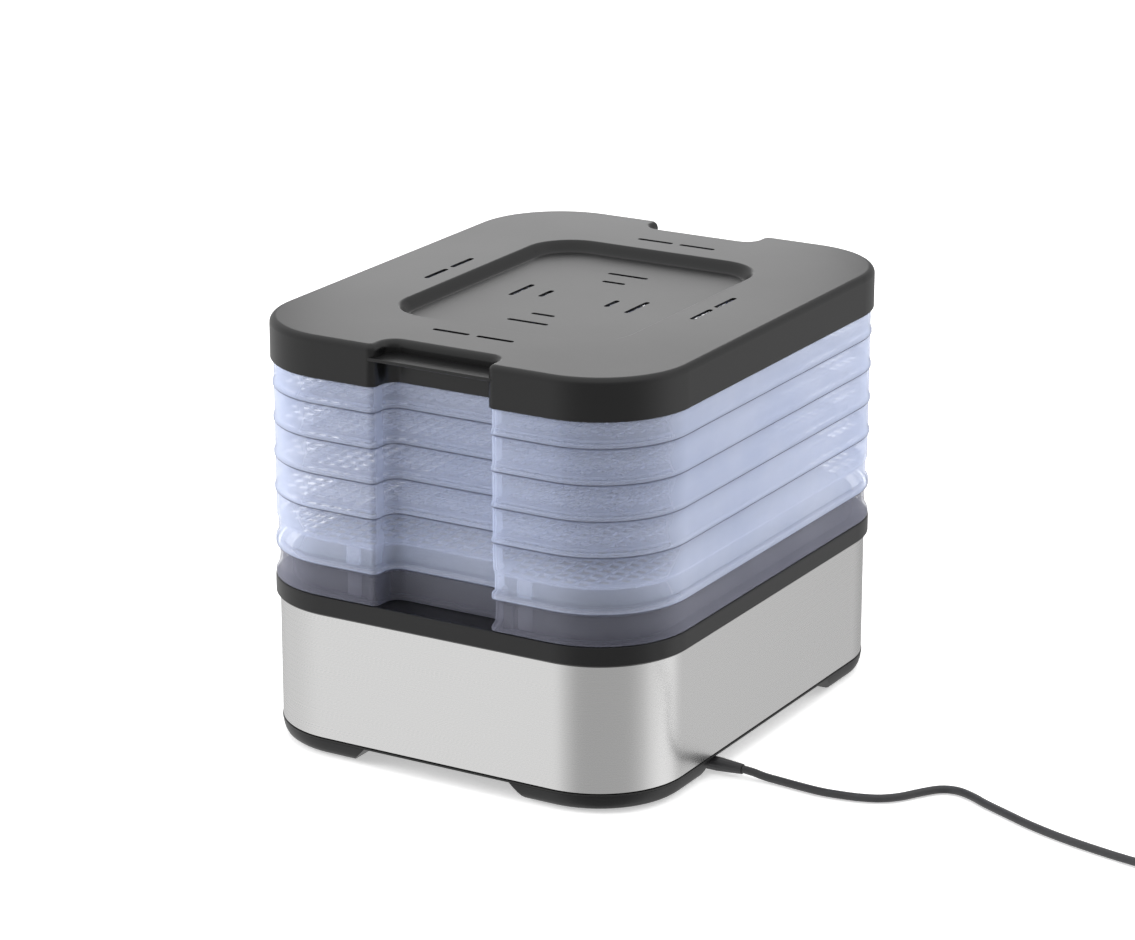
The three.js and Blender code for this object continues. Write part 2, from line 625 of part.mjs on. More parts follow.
addPart('power_cord', cordTube([[cordX, reach + gap, glandZ], [cordX, 159, 4.2], [67.4, 167, cordLie + 0.4],
  [67.8, 177.2, cordLie], [69.3, 191.3, cordLie], [70.2, 205, cordLie], [69, 217.5, cordLie],
  [66.5, 229.3, cordLie], [61.9, 240.1, cordLie], [53.5, 249, cordLie], [41.9, 256.3, cordLie],
  [32, 264, cordLie], [28.7, 273.4, cordLie], [31.9, 284.5, cordLie], [38.4, 296.5, cordLie],
  [46, 313, cordLie], [54, 331, cordLie], [61, 351, cordLie], [66.5, 372, cordLie], [71, 394, cordLie],
  [75.5, 415.6, cordLie + 0.6]], cordR, 8, 34), rubber());
addPart('cord_coil', turned([[coilInR, coilLow], [coilOutR, coilLow], [coilOutR, coilTop],
  [coilInR, coilTop], [coilInR, coilLow]], 28, coilX, coilY), rubber());
addPart('cord_tail', cordTube([[coilX - 19.2, coilY + 31.3, 6.2], [22, 474, 3.6], [8, 475, cordLie],
  [-3, plugY, 5.6], [-9, plugY, 6.8], [-13, plugY, plugZ]], cordR, 8, 12), rubber());

function cordTie() {
  const thick = 0.7;
  const halfWide = 4;
  const innerR = coilInR - 0.9;     // clear of the coil's curved inside
  const inner = box(innerR, coilOutR + gap, -halfWide - 1, halfWide + 1, coilLow - 0.25, coilTop + gap);
  const outer = box(innerR - thick, coilOutR + gap + thick, -halfWide, halfWide,
    coilLow - 0.25 - thick, coilTop + gap + thick);
  const place = (geometry) => {
    geometry.rotateZ(THREE.MathUtils.degToRad(200));
    geometry.translate(coilX, coilY, 0);
    return solid(geometry);
  };
  return place(outer).subtract(place(inner));
}
addPart('cord_tie', cordTie(), rubber());

const plugEndX = -14 - gap;     // where the cord enters the plug
const plugReliefLong = 12;
const plugLong = 32;
const plugHalfWide = 17.6;
const plugHalfThick = 6.8;
const pinSpacing = 18.6;
function plugBody() {
  const back = plugEndX - plugReliefLong;
  const face = back - plugLong;
  const plan = [[back + 1, -5.5], [back - 7, -11], [face + 9, -plugHalfWide], [face, -plugHalfWide + 1.5],
    [face, plugHalfWide - 1.5], [face + 9, plugHalfWide], [back - 7, 11], [back + 1, 5.5]];
  const body = prism(plan.map(([x, y]) => new THREE.Vector2(x, y + plugY)).reverse(),
    plugZ - plugHalfThick, plugZ + plugHalfThick);
  const relief = new THREE.LatheGeometry([[0, 0], [3.1, 0], [4.4, plugReliefLong + 3],
    [0, plugReliefLong + 3]].map(([r, along]) => new THREE.Vector2(r, along)), 10);
  relief.rotateZ(Math.PI / 2);
  relief.translate(plugEndX, plugY, plugZ);
  return body.add(solid(relief));
}
addPart('plug_body', plugBody(), rubber());
[-1, 1].forEach((side, i) => {
  const face = plugEndX - plugReliefLong - plugLong;
  const pin = new THREE.LatheGeometry([[0, 0], [2, 0], [2, 17.5], [1.2, 18.5], [0, 18.5]].map(([r, along]) =>
    new THREE.Vector2(r, along)), 10);
  pin.rotateZ(Math.PI / 2);
  pin.translate(face - gap, plugY + side * pinSpacing / 2, plugZ);
  addPart(`plug_pin_${i + 1}`, solid(pin), zincSteel());
});

export default object;
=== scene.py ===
"""Food dehydrator: steel-wrapped fan base, five clear stacking trays and a black vented lid."""
import json
import math

import bmesh
import bpy
from mathutils import Matrix, Vector

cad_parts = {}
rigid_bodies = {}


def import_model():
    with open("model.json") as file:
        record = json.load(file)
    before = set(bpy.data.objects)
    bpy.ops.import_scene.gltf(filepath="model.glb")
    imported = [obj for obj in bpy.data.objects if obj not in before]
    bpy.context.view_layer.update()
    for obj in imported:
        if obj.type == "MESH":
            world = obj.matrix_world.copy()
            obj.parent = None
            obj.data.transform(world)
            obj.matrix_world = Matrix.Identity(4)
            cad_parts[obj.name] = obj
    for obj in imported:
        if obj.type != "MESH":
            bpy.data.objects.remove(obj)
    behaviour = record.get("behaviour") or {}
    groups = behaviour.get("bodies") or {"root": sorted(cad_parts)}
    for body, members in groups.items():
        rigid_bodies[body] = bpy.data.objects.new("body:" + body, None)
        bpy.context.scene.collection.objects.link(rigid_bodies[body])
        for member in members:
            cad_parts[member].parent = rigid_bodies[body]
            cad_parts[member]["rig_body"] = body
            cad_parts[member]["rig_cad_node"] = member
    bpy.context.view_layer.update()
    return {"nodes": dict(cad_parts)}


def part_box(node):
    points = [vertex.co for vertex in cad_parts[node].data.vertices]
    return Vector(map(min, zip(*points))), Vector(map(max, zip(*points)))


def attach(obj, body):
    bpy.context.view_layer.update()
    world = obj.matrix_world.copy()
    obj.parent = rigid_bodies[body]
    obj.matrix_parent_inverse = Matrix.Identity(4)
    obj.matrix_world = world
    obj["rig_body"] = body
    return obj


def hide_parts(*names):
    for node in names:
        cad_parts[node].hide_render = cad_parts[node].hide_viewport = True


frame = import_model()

MM = 0.001

# ---- Camera --------------------------------------------------------------------------------------
# A long lens a good two metres away, a little above the lid, looking at the rear and one short end.
camera_data = bpy.data.cameras.new("camera")
camera_data.lens = 123.25
camera_data.sensor_width = 36.0
camera_data.clip_end = 60.0
camera = bpy.data.objects.new("camera", camera_data)
camera.location = (1.9659, 1.1445, 0.8805)
look_at = Vector((0.0079, -0.0034, 0.1492))
camera.rotation_euler = (look_at - camera.location).to_track_quat("-Z", "Y").to_euler()
bpy.context.scene.collection.objects.link(camera)
bpy.context.scene.camera = camera
bpy.context.scene.view_settings.view_transform = "Standard"


# ---- Power cord ----------------------------------------------------------------------------------
# A thin two-core lead in black PVC. It leaves the strain relief at the rear, drops to the worktop and
# wanders off; the spare length is wound into a neat coil of two layers and ends in the plug.
def only(piece):
    """Selects one piece alone and makes it active."""
    bpy.ops.object.select_all(action="DESELECT")
    piece.select_set(True)
    bpy.context.view_layer.objects.active = piece


def apply_modifier(piece, name, kind, **settings):
    """Adds a modifier with its settings and applies it."""
    modifier = piece.modifiers.new(name, kind)
    for setting, value in settings.items():
        setattr(modifier, setting, value)
    bpy.ops.object.modifier_apply(modifier=modifier.name)


def shade(piece, angle=40.0):
    only(piece)
    bpy.ops.object.shade_smooth_by_angle(angle=math.radians(angle))


def mix_noise(tree, vector, scale, detail, low, high):
    """A noise pattern squeezed between two values, for roughness or a colour factor."""
    noise = tree.nodes.new("ShaderNodeTexNoise")
    noise.inputs["Scale"].default_value = scale
    noise.inputs["Detail"].default_value = detail
    tree.links.new(vector, noise.inputs["Vector"])
    spread = tree.nodes.new("ShaderNodeMapRange")
    spread.inputs["From Min"].default_value = 0.3
    spread.inputs["From Max"].default_value = 0.7
    spread.inputs["To Min"].default_value = low
    spread.inputs["To Max"].default_value = high
    tree.links.new(noise.outputs["Fac"], spread.inputs["Value"])
    return spread.outputs["Result"]


def grain_group():
    """Shader group: fine moulded grain. Puts out a height for Bump, a roughness and a tone."""
    group = bpy.data.node_groups.new("moulded_grain", "ShaderNodeTree")
    for name, value in (("Grain Size", 900.0), ("Roughness", 0.45), ("Roughness Spread", 0.06),
                        ("Cloud Size", 9.0)):
        socket = group.interface.new_socket(name=name, in_out="INPUT", socket_type="NodeSocketFloat")
        socket.default_value = value
    for name in ("Height", "Roughness", "Tone"):
        group.interface.new_socket(name=name, in_out="OUTPUT", socket_type="NodeSocketFloat")
    nodes, links = group.nodes, group.links
    given = nodes.new("NodeGroupInput")
    out = nodes.new("NodeGroupOutput")
    place = nodes.new("ShaderNodeTexCoord")
    cells = nodes.new("ShaderNodeTexVoronoi")
    cells.feature = "SMOOTH_F1"
    links.new(place.outputs["Object"], cells.inputs["Vector"])
    links.new(given.outputs["Grain Size"], cells.inputs["Scale"])
    links.new(cells.outputs["Distance"], out.inputs["Height"])
    cloud = nodes.new("ShaderNodeTexNoise")
    cloud.inputs["Detail"].default_value = 5.0
    links.new(place.outputs["Object"], cloud.inputs["Vector"])
    links.new(given.outputs["Cloud Size"], cloud.inputs["Scale"])
    centred = nodes.new("ShaderNodeMath")
    centred.operation = "SUBTRACT"
    centred.inputs[1].default_value = 0.5
    links.new(cloud.outputs["Fac"], centred.inputs[0])
    spread = nodes.new("ShaderNodeMath")
    spread.operation = "MULTIPLY_ADD"
    links.new(centred.outputs[0], spread.inputs[0])
    links.new(given.outputs["Roughness Spread"], spread.inputs[1])
    links.new(given.outputs["Roughness"], spread.inputs[2])
    links.new(spread.outputs[0], out.inputs["Roughness"])
    links.new(cloud.outputs["Fac"], out.inputs["Tone"])
    return group


moulded_grain = grain_group()


def two_tone(tree, factor, dark, light):
    """A colour that wanders between two tones with the factor."""
    tone = tree.nodes.new("ShaderNodeMix")
    tone.data_type = "RGBA"
    tone.inputs["A"].default_value = (*dark, 1.0)
    tone.inputs["B"].default_value = (*light, 1.0)
    tree.links.new(factor, tone.inputs["Factor"])
    return tone.outputs["Result"]


def start_material(name):
    """A new node material: returns it with its tree, its Principled shader and object coordinates."""
    material = bpy.data.materials.new(name)
    material.use_nodes = True
    tree = material.node_tree
    shader = tree.nodes["Principled BSDF"]
    place = tree.nodes.new("ShaderNodeTexCoord")
    return material, tree, shader, place.outputs["Object"]


def moulded_plastic(name, dark, light, roughness, grain=900.0, bump=0.1, spread=0.08, cloud=9.0):
    """Moulded plastic with a fine grain, slightly uneven in tone and shine."""
    material, tree, shader, _ = start_material(name)
    group = tree.nodes.new("ShaderNodeGroup")
    group.node_tree = moulded_grain
    group.inputs["Grain Size"].default_value = grain
    group.inputs["Roughness"].default_value = roughness
    group.inputs["Roughness Spread"].default_value = spread
    group.inputs["Cloud Size"].default_value = cloud
    tree.links.new(two_tone(tree, group.outputs["Tone"], dark, light), shader.inputs["Base Color"])
    tree.links.new(group.outputs["Roughness"], shader.inputs["Roughness"])
    relief = tree.nodes.new("ShaderNodeBump")
    relief.inputs["Strength"].default_value = bump
    relief.inputs["Distance"].default_value = 0.0002
    tree.links.new(group.outputs["Height"], relief.inputs["Height"])
    tree.links.new(relief.outputs["Normal"], shader.inputs["Normal"])
    return material


cord_vinyl = moulded_plastic("cord_vinyl", (0.028, 0.028, 0.03), (0.05, 0.05, 0.052), 0.42,
                             grain=1400.0, bump=0.12, cloud=40.0)

cord_radius = 2.4 * MM
cord_lie = 0.0025
cord_exit = (0.0675, 0.1523, 0.0047)
run_points = [
    cord_exit, (0.0675, 0.159, 0.0042), (0.0674, 0.167, cord_lie + 0.0004), (0.0678, 0.1772, cord_lie),
    (0.0693, 0.1913, cord_lie), (0.0702, 0.205, cord_lie), (0.069, 0.2175, cord_lie),
    (0.0665, 0.2293, cord_lie), (0.0619, 0.2401, cord_lie), (0.0535, 0.249, cord_lie),
    (0.0419, 0.2563, cord_lie), (0.032, 0.264, cord_lie), (0.0287, 0.2734, cord_lie),
    (0.0319, 0.2845, cord_lie), (0.0384, 0.2965, cord_lie), (0.046, 0.313, cord_lie),
    (0.054, 0.331, cord_lie), (0.061, 0.351, cord_lie), (0.0665, 0.372, cord_lie),
    (0.071, 0.394, cord_lie), (0.0755, 0.4156, cord_lie + 0.0006)]
tail_points = [(0.0308, 0.4733, 0.0062), (0.022, 0.474, 0.0036), (0.008, 0.475, cord_lie),
               (-0.003, 0.476, 0.0056), (-0.009, 0.476, 0.0068), (-0.0144, 0.476, 0.0069)]
coil_middle = Vector((0.050, 0.442, 0.0))
coil_mean = 26.5 * MM
coil_low = 3.45 * MM
coil_enters = math.radians(-14.5)
coil_turns = 5
coil_leaves = math.radians(90.0)
steps_per_turn = 36


def smooth_step(value):
    value = min(max(value, 0.0), 1.0)
    return value * value * (3.0 - 2.0 * value)


def coil_points():
    """Three turns side by side from the outside in, then back out on top of them."""
    pitch = 2.0 * cord_radius
    columns = [1, 0, -1, -1, 0, 1]
    floors = [0, 0, 0, 1, 1, 1]
    total = coil_turns + (coil_leaves - coil_enters) / (2.0 * math.pi)
    count = int(total * steps_per_turn)
    points = []
    for i in range(count + 1):
        turned = total * i / count
        turn = min(int(turned), len(columns) - 1)
        share = smooth_step((turned - turn) / 0.22)
        before = max(turn - 1, 0)
        column = columns[before] + (columns[turn] - columns[before]) * share
        floor = floors[before] + (floors[turn] - floors[before]) * share
        angle = coil_enters + 2.0 * math.pi * turned
        radius = coil_mean + column * pitch
        points.append((coil_middle.x + radius * math.cos(angle), coil_middle.y + radius * math.sin(angle),
                       coil_low + floor * pitch))
    return points


def through(points, steps):
    """A smooth line through given points."""
    line = []
    for i in range(len(points) - 1):
        a, b, c, d = (Vector(points[min(max(k, 0), len(points) - 1)]) for k in (i - 1, i, i + 1, i + 2))
        for j in range(steps):
            t = j / steps
            line.append(0.5 * (2 * b + (c - a) * t + (2 * a - 5 * b + 4 * c - d) * t * t
                               + (3 * b - a - 3 * c + d) * t * t * t))
    line.append(Vector(points[-1]))
    return line


coil = coil_points()
whole_route = through(run_points + coil[::3] + [coil[-1]] + tail_points, 4)

cord_curve = bpy.data.curves.new("power_lead", "CURVE")
cord_curve.dimensions = "3D"
spline = cord_curve.splines.new("POLY")
spline.points.add(len(whole_route) - 1)
for point, place in zip(spline.points, whole_route):
    point.co = (*place, 1.0)
cord_curve.bevel_depth = cord_radius
cord_curve.bevel_resolution = 4
cord_curve.use_fill_caps = True
lead = bpy.data.objects.new("power_lead", cord_curve)
bpy.context.scene.collection.objects.link(lead)
cord_curve.materials.append(cord_vinyl)
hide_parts("power_cord", "cord_coil", "cord_tail")
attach(lead, "base")

# ---- Cord coil tie, plug and pins ----------------------------------------------------------------
# The tie is a flat strip of black nylon closed round the coil. The plug is a flat two-pin one, moulded
# in one shot onto the lead with a ribbed strain relief, with two nickel-plated brass pins.
def fresh(name):
    """Names the primitive just added and drops its offset into its mesh."""
    piece = bpy.context.object
    piece.name = piece.data.name = name
    bpy.ops.object.transform_apply(location=True, rotation=True, scale=True)
    return piece


def pick(piece, test, what="verts"):
    """Selects only the points, edges or faces of the edited piece that pass the test."""
    bpy.ops.mesh.select_mode(type={"verts": "VERT", "edges": "EDGE", "faces": "FACE"}[what])
    mesh = bmesh.from_edit_mesh(piece.data)
    for face in mesh.faces:
        face.select = False
    for edge in mesh.edges:
        edge.select = False
    for vert in mesh.verts:
        vert.select = False
    for part in list(getattr(mesh, what)):
        if what == "verts":
            chosen = test(part.co)
        elif what == "edges":
            chosen = test(part.verts[0].co, part.verts[1].co)
        else:
            chosen = test(part.calc_center_median(), part.normal)
        if chosen:
            part.select_set(True)
    mesh.select_flush_mode()
    bmesh.update_edit_mesh(piece.data)


def edit(mode):
    bpy.ops.object.mode_set(mode="EDIT")
    bpy.ops.mesh.select_mode(type=mode)


def add_block(name, low, high):
    """A plain block between two corners, left selected and active."""
    bpy.ops.object.select_all(action="DESELECT")
    bpy.ops.mesh.primitive_cube_add(size=1.0, location=[(a + b) / 2 for a, b in zip(low, high)],
                                    scale=[b - a for a, b in zip(low, high)])
    return fresh(name)


def finish_piece(piece, material, body, slot, *stands_for):
    """Gives a finished piece its material and ties it to the frame."""
    piece.data.materials.clear()
    piece.data.materials.append(material)
    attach(piece, body)
    if stands_for:
        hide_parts(*stands_for)
    return piece


def soften(piece, width, segments=3, angle=30.0):
    """Rounds the piece's sharp edges and applies it."""
    only(piece)
    apply_modifier(piece, "soft_edges", "BEVEL", width=width, segments=segments, limit_method="ANGLE",
                   angle_limit=math.radians(angle), use_clamp_overlap=True)


def level_shading(piece, angle=30.0):
    """Smooth shading in which the large faces stay flat."""
    shade(piece, angle)
    apply_modifier(piece, "level_shading", "WEIGHTED_NORMAL", keep_sharp=True, weight=80)


def combine(piece, tool, how="DIFFERENCE"):
    """Cuts or joins a tool piece with a boolean and removes it."""
    only(piece)
    apply_modifier(piece, "cut", "BOOLEAN", operation=how, solver="EXACT", object=tool)
    bpy.data.objects.remove(tool)


def merge(name, pieces):
    """Joins pieces into one object."""
    bpy.ops.object.select_all(action="DESELECT")
    for piece in pieces:
        piece.select_set(True)
    bpy.context.view_layer.objects.active = pieces[0]
    bpy.ops.object.join()
    pieces[0].name = pieces[0].data.name = name
    return pieces[0]


tie_low, tie_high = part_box("cord_tie")
tie_turn = math.radians(200.0)
tie_half = 8.35 * MM
tie_half_wide = 4 * MM
tie_top = tie_high.z
tie = add_block("coil_tie", (-tie_half, -tie_half_wide, tie_low.z), (tie_half, tie_half_wide, tie_top))
edit("FACE")
pick(tie, lambda middle, normal: abs(normal.y) > 0.9, "faces")
bpy.ops.mesh.delete(type="FACE")
pick(tie, lambda a, b: abs(a.x - b.x) < 1e-6 and abs(a.z - b.z) < 1e-6, "edges")
bpy.ops.mesh.bevel(offset=2.2 * MM, segments=5, affect="EDGES")
bpy.ops.object.mode_set(mode="OBJECT")
apply_modifier(tie, "wall", "SOLIDIFY", thickness=0.7 * MM, offset=-1.0)
tie_head = add_block("tie_head", (-2.5 * MM, -2.8 * MM, tie_top - 0.3 * MM),
                     (2.5 * MM, 2.8 * MM, tie_top + 2.6 * MM))
soften(tie_head, 0.5 * MM)
tie = merge("coil_tie", [tie, tie_head])
bpy.ops.transform.rotate(value=-tie_turn, orient_axis="Z", center_override=(0, 0, 0))
bpy.ops.transform.translate(value=(coil_middle.x + coil_mean * math.cos(tie_turn),
                                   coil_middle.y + coil_mean * math.sin(tie_turn), 0.0))
bpy.ops.object.transform_apply(location=True, rotation=True, scale=True)
shade(tie)
tie_nylon = moulded_plastic("tie_nylon", (0.02, 0.02, 0.02), (0.035, 0.035, 0.035), 0.5, cloud=60.0)
finish_piece(tie, tie_nylon, "base", "tie_plastic", "cord_tie")

plug_low, plug_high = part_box("plug_body")
plug_middle = (plug_low + plug_high) / 2
plug_back = plug_high.x - 12 * MM
plug_half_wide = 17.5 * MM
plug = add_block("mains_plug", (plug_low.x, plug_middle.y - plug_half_wide, plug_low.z),
                 (plug_back, plug_middle.y + plug_half_wide, plug_high.z))
edit("VERT")
bpy.ops.mesh.select_all(action="SELECT")
bpy.ops.mesh.bisect(plane_co=(plug_low.x + 9 * MM, 0, 0), plane_no=(1, 0, 0))
bpy.ops.mesh.select_all(action="SELECT")
bpy.ops.mesh.bisect(plane_co=(plug_back - 7 * MM, 0, 0), plane_no=(1, 0, 0))
pick(plug, lambda p: p.x > plug_back - 8 * MM)
bpy.ops.transform.resize(value=(1, 0.62, 1), center_override=tuple(plug_middle))
pick(plug, lambda p: p.x > plug_back - 1 * MM)
bpy.ops.transform.resize(value=(1, 0.5, 0.82), center_override=tuple(plug_middle))
bpy.ops.object.mode_set(mode="OBJECT")
soften(plug, 2.4 * MM, 5, 25.0)
bpy.ops.object.select_all(action="DESELECT")
bpy.ops.mesh.primitive_cone_add(vertices=28, radius1=4.3 * MM, radius2=3.1 * MM, depth=15 * MM,
                                location=(plug_high.x - 7.5 * MM, 0.476, plug_middle.z),
                                rotation=(0, math.pi / 2, 0))
relief_cone = fresh("plug_relief")
edit("FACE")
for rib in range(5):
    at = plug_high.x - (2.4 + 2.0 * rib) * MM
    for edge in (at, at + 0.9 * MM):
        bpy.ops.mesh.select_all(action="SELECT")
        bpy.ops.mesh.bisect(plane_co=(edge, 0, 0), plane_no=(1, 0, 0))
    pick(relief_cone, lambda middle, normal: at < middle.x < at + 0.9 * MM and abs(normal.x) < 0.9, "faces")
    bpy.ops.mesh.extrude_region_shrink_fatten(TRANSFORM_OT_shrink_fatten={"value": -0.5 * MM})
bpy.ops.object.mode_set(mode="OBJECT")
plug = merge("mains_plug", [plug, relief_cone])
shade(plug)
finish_piece(plug, cord_vinyl, "base", "cord_rubber", "plug_body")

pin_nickel, pin_tree, pin_shader, pin_place = start_material("pin_nickel")
pin_shader.inputs["Base Color"].default_value = (0.70, 0.68, 0.62, 1.0)
pin_shader.inputs["Metallic"].default_value = 1.0
pin_tree.links.new(mix_noise(pin_tree, pin_place, 300.0, 3.0, 0.16, 0.34), pin_shader.inputs["Roughness"])
pin_root = 0.4 * MM
for number in (1, 2):
    pin_low, pin_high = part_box(f"plug_pin_{number}")
    pin_middle = (pin_low + pin_high) / 2
    bpy.ops.object.select_all(action="DESELECT")
    pin_length = pin_high.x - pin_low.x + 2 * pin_root
    bpy.ops.mesh.primitive_cylinder_add(vertices=28, radius=2 * MM, depth=pin_length,
                                        location=pin_middle + Vector((pin_root, 0, 0)),
                                        rotation=(0, math.pi / 2, 0))
    pin = fresh(f"contact_pin_{number}")
    edit("FACE")
    pick(pin, lambda middle, normal: normal.x < -0.9, "faces")
    bpy.ops.mesh.bevel(offset=1.1 * MM, segments=4, affect="EDGES")
    bpy.ops.object.mode_set(mode="OBJECT")
    shade(pin)
    finish_piece(pin, pin_nickel, "base", "plated_brass", f"plug_pin_{number}")


# ---- Base pan ------------------------------------------------------------------------------------
# Black moulded pan that closes the base from below. A thin lip shows under the steel, and at each
# corner the bottom swells down to the worktop. It is screwed up into the deck's four posts.
sleeve_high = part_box("steel_wrap")[1]
half_long = sleeve_high.x
half_deep = sleeve_high.y
corner_radius = 56 * MM
notch_half = 40.7 * MM
notch_wall = 149.5 * MM
notch_corner = 11 * MM
mouth_corner = 2.6 * MM
touching = 2e-6
near = 1e-4


def plan_face(name, out, z, notched, fine=12):
    """The appliance's plan as one flat face at height z, moved outwards by `out`; left in edit mode."""
    long, deep = half_long + out, half_deep + out
    wall_x, half = notch_wall + out, notch_half - out
    bpy.ops.object.select_all(action="DESELECT")
    bpy.ops.mesh.primitive_plane_add(size=2.0)
    piece = fresh(name)
    edit("VERT")
    bpy.ops.mesh.select_all(action="SELECT")
    bpy.ops.transform.resize(value=(long, deep, 1.0))
    bpy.ops.transform.translate(value=(0.0, 0.0, z))
    if notched:
        for side in (-1, 1):
            bpy.ops.mesh.select_all(action="SELECT")
            bpy.ops.mesh.bisect(plane_co=(side * wall_x, 0, z), plane_no=(1, 0, 0))
            bpy.ops.mesh.select_all(action="SELECT")
            bpy.ops.mesh.bisect(plane_co=(0, side * half, z), plane_no=(0, 1, 0))
        pick(piece, lambda middle, normal: abs(middle.x) > wall_x and abs(middle.y) < half, "faces")
        bpy.ops.mesh.delete(type="FACE")
        bpy.ops.mesh.select_all(action="SELECT")
        bpy.ops.mesh.dissolve_limited(angle_limit=math.radians(1.0))
    pick(piece, lambda p: abs(abs(p.x) - long) < near and abs(abs(p.y) - deep) < near)
    bpy.ops.mesh.bevel(offset=corner_radius + out, segments=fine, affect="VERTICES")
    if notched:
        pick(piece, lambda p: abs(abs(p.x) - wall_x) < near and abs(abs(p.y) - half) < near)
        bpy.ops.mesh.bevel(offset=min(notch_corner - out, 15 * MM), segments=6, affect="VERTICES")
        pick(piece, lambda p: abs(abs(p.x) - long) < near and abs(abs(p.y) - half) < near)
        bpy.ops.mesh.bevel(offset=max(mouth_corner + out, 1.5 * MM), segments=4, affect="VERTICES")
    return piece


def rounded_face(name, middle, half_x, half_y, radius, z, fine=6):
    """A flat rounded rectangle at height z, left in edit mode."""
    bpy.ops.object.select_all(action="DESELECT")
    bpy.ops.mesh.primitive_plane_add(size=2.0)
    piece = fresh(name)
    edit("VERT")
    bpy.ops.mesh.select_all(action="SELECT")
    bpy.ops.transform.resize(value=(half_x, half_y, 1.0))
    bpy.ops.transform.translate(value=(middle[0], middle[1], z))
    bpy.ops.mesh.bevel(offset=radius, segments=fine, affect="VERTICES")
    return piece


def raise_wall(piece, profile, closed=False):
    """Drops the plan's face and raises a skin from its edge through the (out, z) steps."""
    bpy.ops.mesh.select_all(action="SELECT")
    bpy.ops.mesh.delete(type="ONLY_FACE")
    for step, ((out, z), (next_out, next_z)) in enumerate(zip(profile, profile[1:])):
        pick(piece, lambda p: abs(p.z - z) < touching)
        bpy.ops.mesh.extrude_edges_move(TRANSFORM_OT_translate={"value": (0.0, 0.0, next_z - z)})
        if step == 0:
            bpy.ops.mesh.select_all(action="SELECT")
            bpy.ops.mesh.normals_make_consistent(inside=False)
        pick(piece, lambda p: abs(p.z - next_z) < touching)
        if abs(next_out - out) > touching:
            bpy.ops.transform.shrink_fatten(value=next_out - out, use_even_offset=True)
    if closed:
        for z in (profile[0][1], profile[-1][1]):
            pick(piece, lambda a, b: abs(a.z - z) < touching and abs(b.z - z) < touching, "edges")
            bpy.ops.mesh.edge_face_add()
        bpy.ops.mesh.select_all(action="SELECT")
        bpy.ops.mesh.normals_make_consistent(inside=False)
    bpy.ops.object.mode_set(mode="OBJECT")
    return piece


def in_mm(*steps):
    return [(out * MM, z * MM) for out, z in steps]


def plan_skin(name, steps, notched, closed=False, fine=12):
    profile = in_mm(*steps)
    return raise_wall(plan_face(name, profile[0][0], profile[0][1], notched, fine), profile, closed)


def thicken(piece, wall):
    """Gives a skin its wall, inwards from its outer face."""
    only(piece)
    apply_modifier(piece, "wall", "SOLIDIFY", thickness=wall, offset=-1.0, use_even_offset=True)


def copy_piece(piece, name, move=(0.0, 0.0, 0.0)):
    """A copy with its own mesh, moved in its mesh."""
    only(piece)
    bpy.ops.object.duplicate(linked=False)
    twin = bpy.context.object
    bpy.ops.transform.translate(value=move)
    bpy.ops.object.transform_apply(location=True, rotation=True, scale=True)
    twin.name = twin.data.name = name
    return twin


pan = plan_skin("underside_pan", [(-10.5, 6.5), (-9, 6.9), (-0.6, 10.2), (0.2, 10.6), (0.4, 10.9),
                                  (0.4, 11.5), (0.2, 11.7), (-1.2, 11.8), (-1.4, 12.2), (-1.4, 26)],
                False, True, 16)
pan_hollow = plan_skin("pan_hollow", [(-9, 9), (-3.6, 12.2), (-3.4, 12.5), (-3.4, 27)], False, True, 16)
combine(pan, pan_hollow)

swell_reach = (76 * MM, 50 * MM)      # where the sloping ends meet the pan
ramp_top = 11 * MM
ramp_fall = 10
ramp_run = 26
for side_x in (-1, 1):
    for side_y in (-1, 1):
        swell = plan_skin("swell", [(-8, 0.95), (-5.6, 1.05), (-3.8, 1.6), (-2.0, 3.0), (-0.8, 5.2),
                                    (-0.1, 8.0), (0.1, 10.4), (-0.5, 10.95), (-1.5, 11.1)], False, True, 16)
        edit("VERT")
        for axis, side in enumerate((side_x, side_y)):
            ramp_foot = Vector((0.0, 0.0, ramp_top))
            ramp_foot[axis] = side * swell_reach[axis]
            slope = Vector((0.0, 0.0, ramp_run))
            slope[axis] = side * ramp_fall
            bpy.ops.mesh.select_all(action="SELECT")
            bpy.ops.mesh.bisect(plane_co=ramp_foot, plane_no=slope, use_fill=True, clear_inner=True)
        bpy.ops.object.mode_set(mode="OBJECT")
        combine(pan, swell, "UNION")
vent_tool = None
for place in range(8):
    vent = rounded_face("vent", ((place - 3.5) * 10 * MM, 0), 2.5 * MM, 30 * MM, 2.4 * MM, 4 * MM, 5)
    raise_wall(vent, in_mm((0, 4), (0, 11)), True)
    vent_tool = vent if vent_tool is None else merge("vents", [vent_tool, vent])
combine(pan, vent_tool)
level_shading(pan, 35.0)
base_black = moulded_plastic("base_black", (0.0030, 0.0030, 0.0033), (0.0055, 0.0055, 0.0058), 0.30,
                             grain=1100.0, bump=0.05, cloud=14.0)
finish_piece(pan, base_black, "base", "black_plastic", "base_pan")


# ---- Carried-over base parts ---------------------------------------------------------------------
# Foot pads, screws, the motor with its bracket and shaft, the heater's boards, the terminal block and
# the wiring are small plain parts kept from the CAD. They only need their real finishes.
def dress(material, slot_name, *node_names):
    """Gives carried-over CAD nodes a better material."""
    for name in node_names:
        node = frame["nodes"][name]
        node.data.materials.clear()
        node.data.materials.append(material)


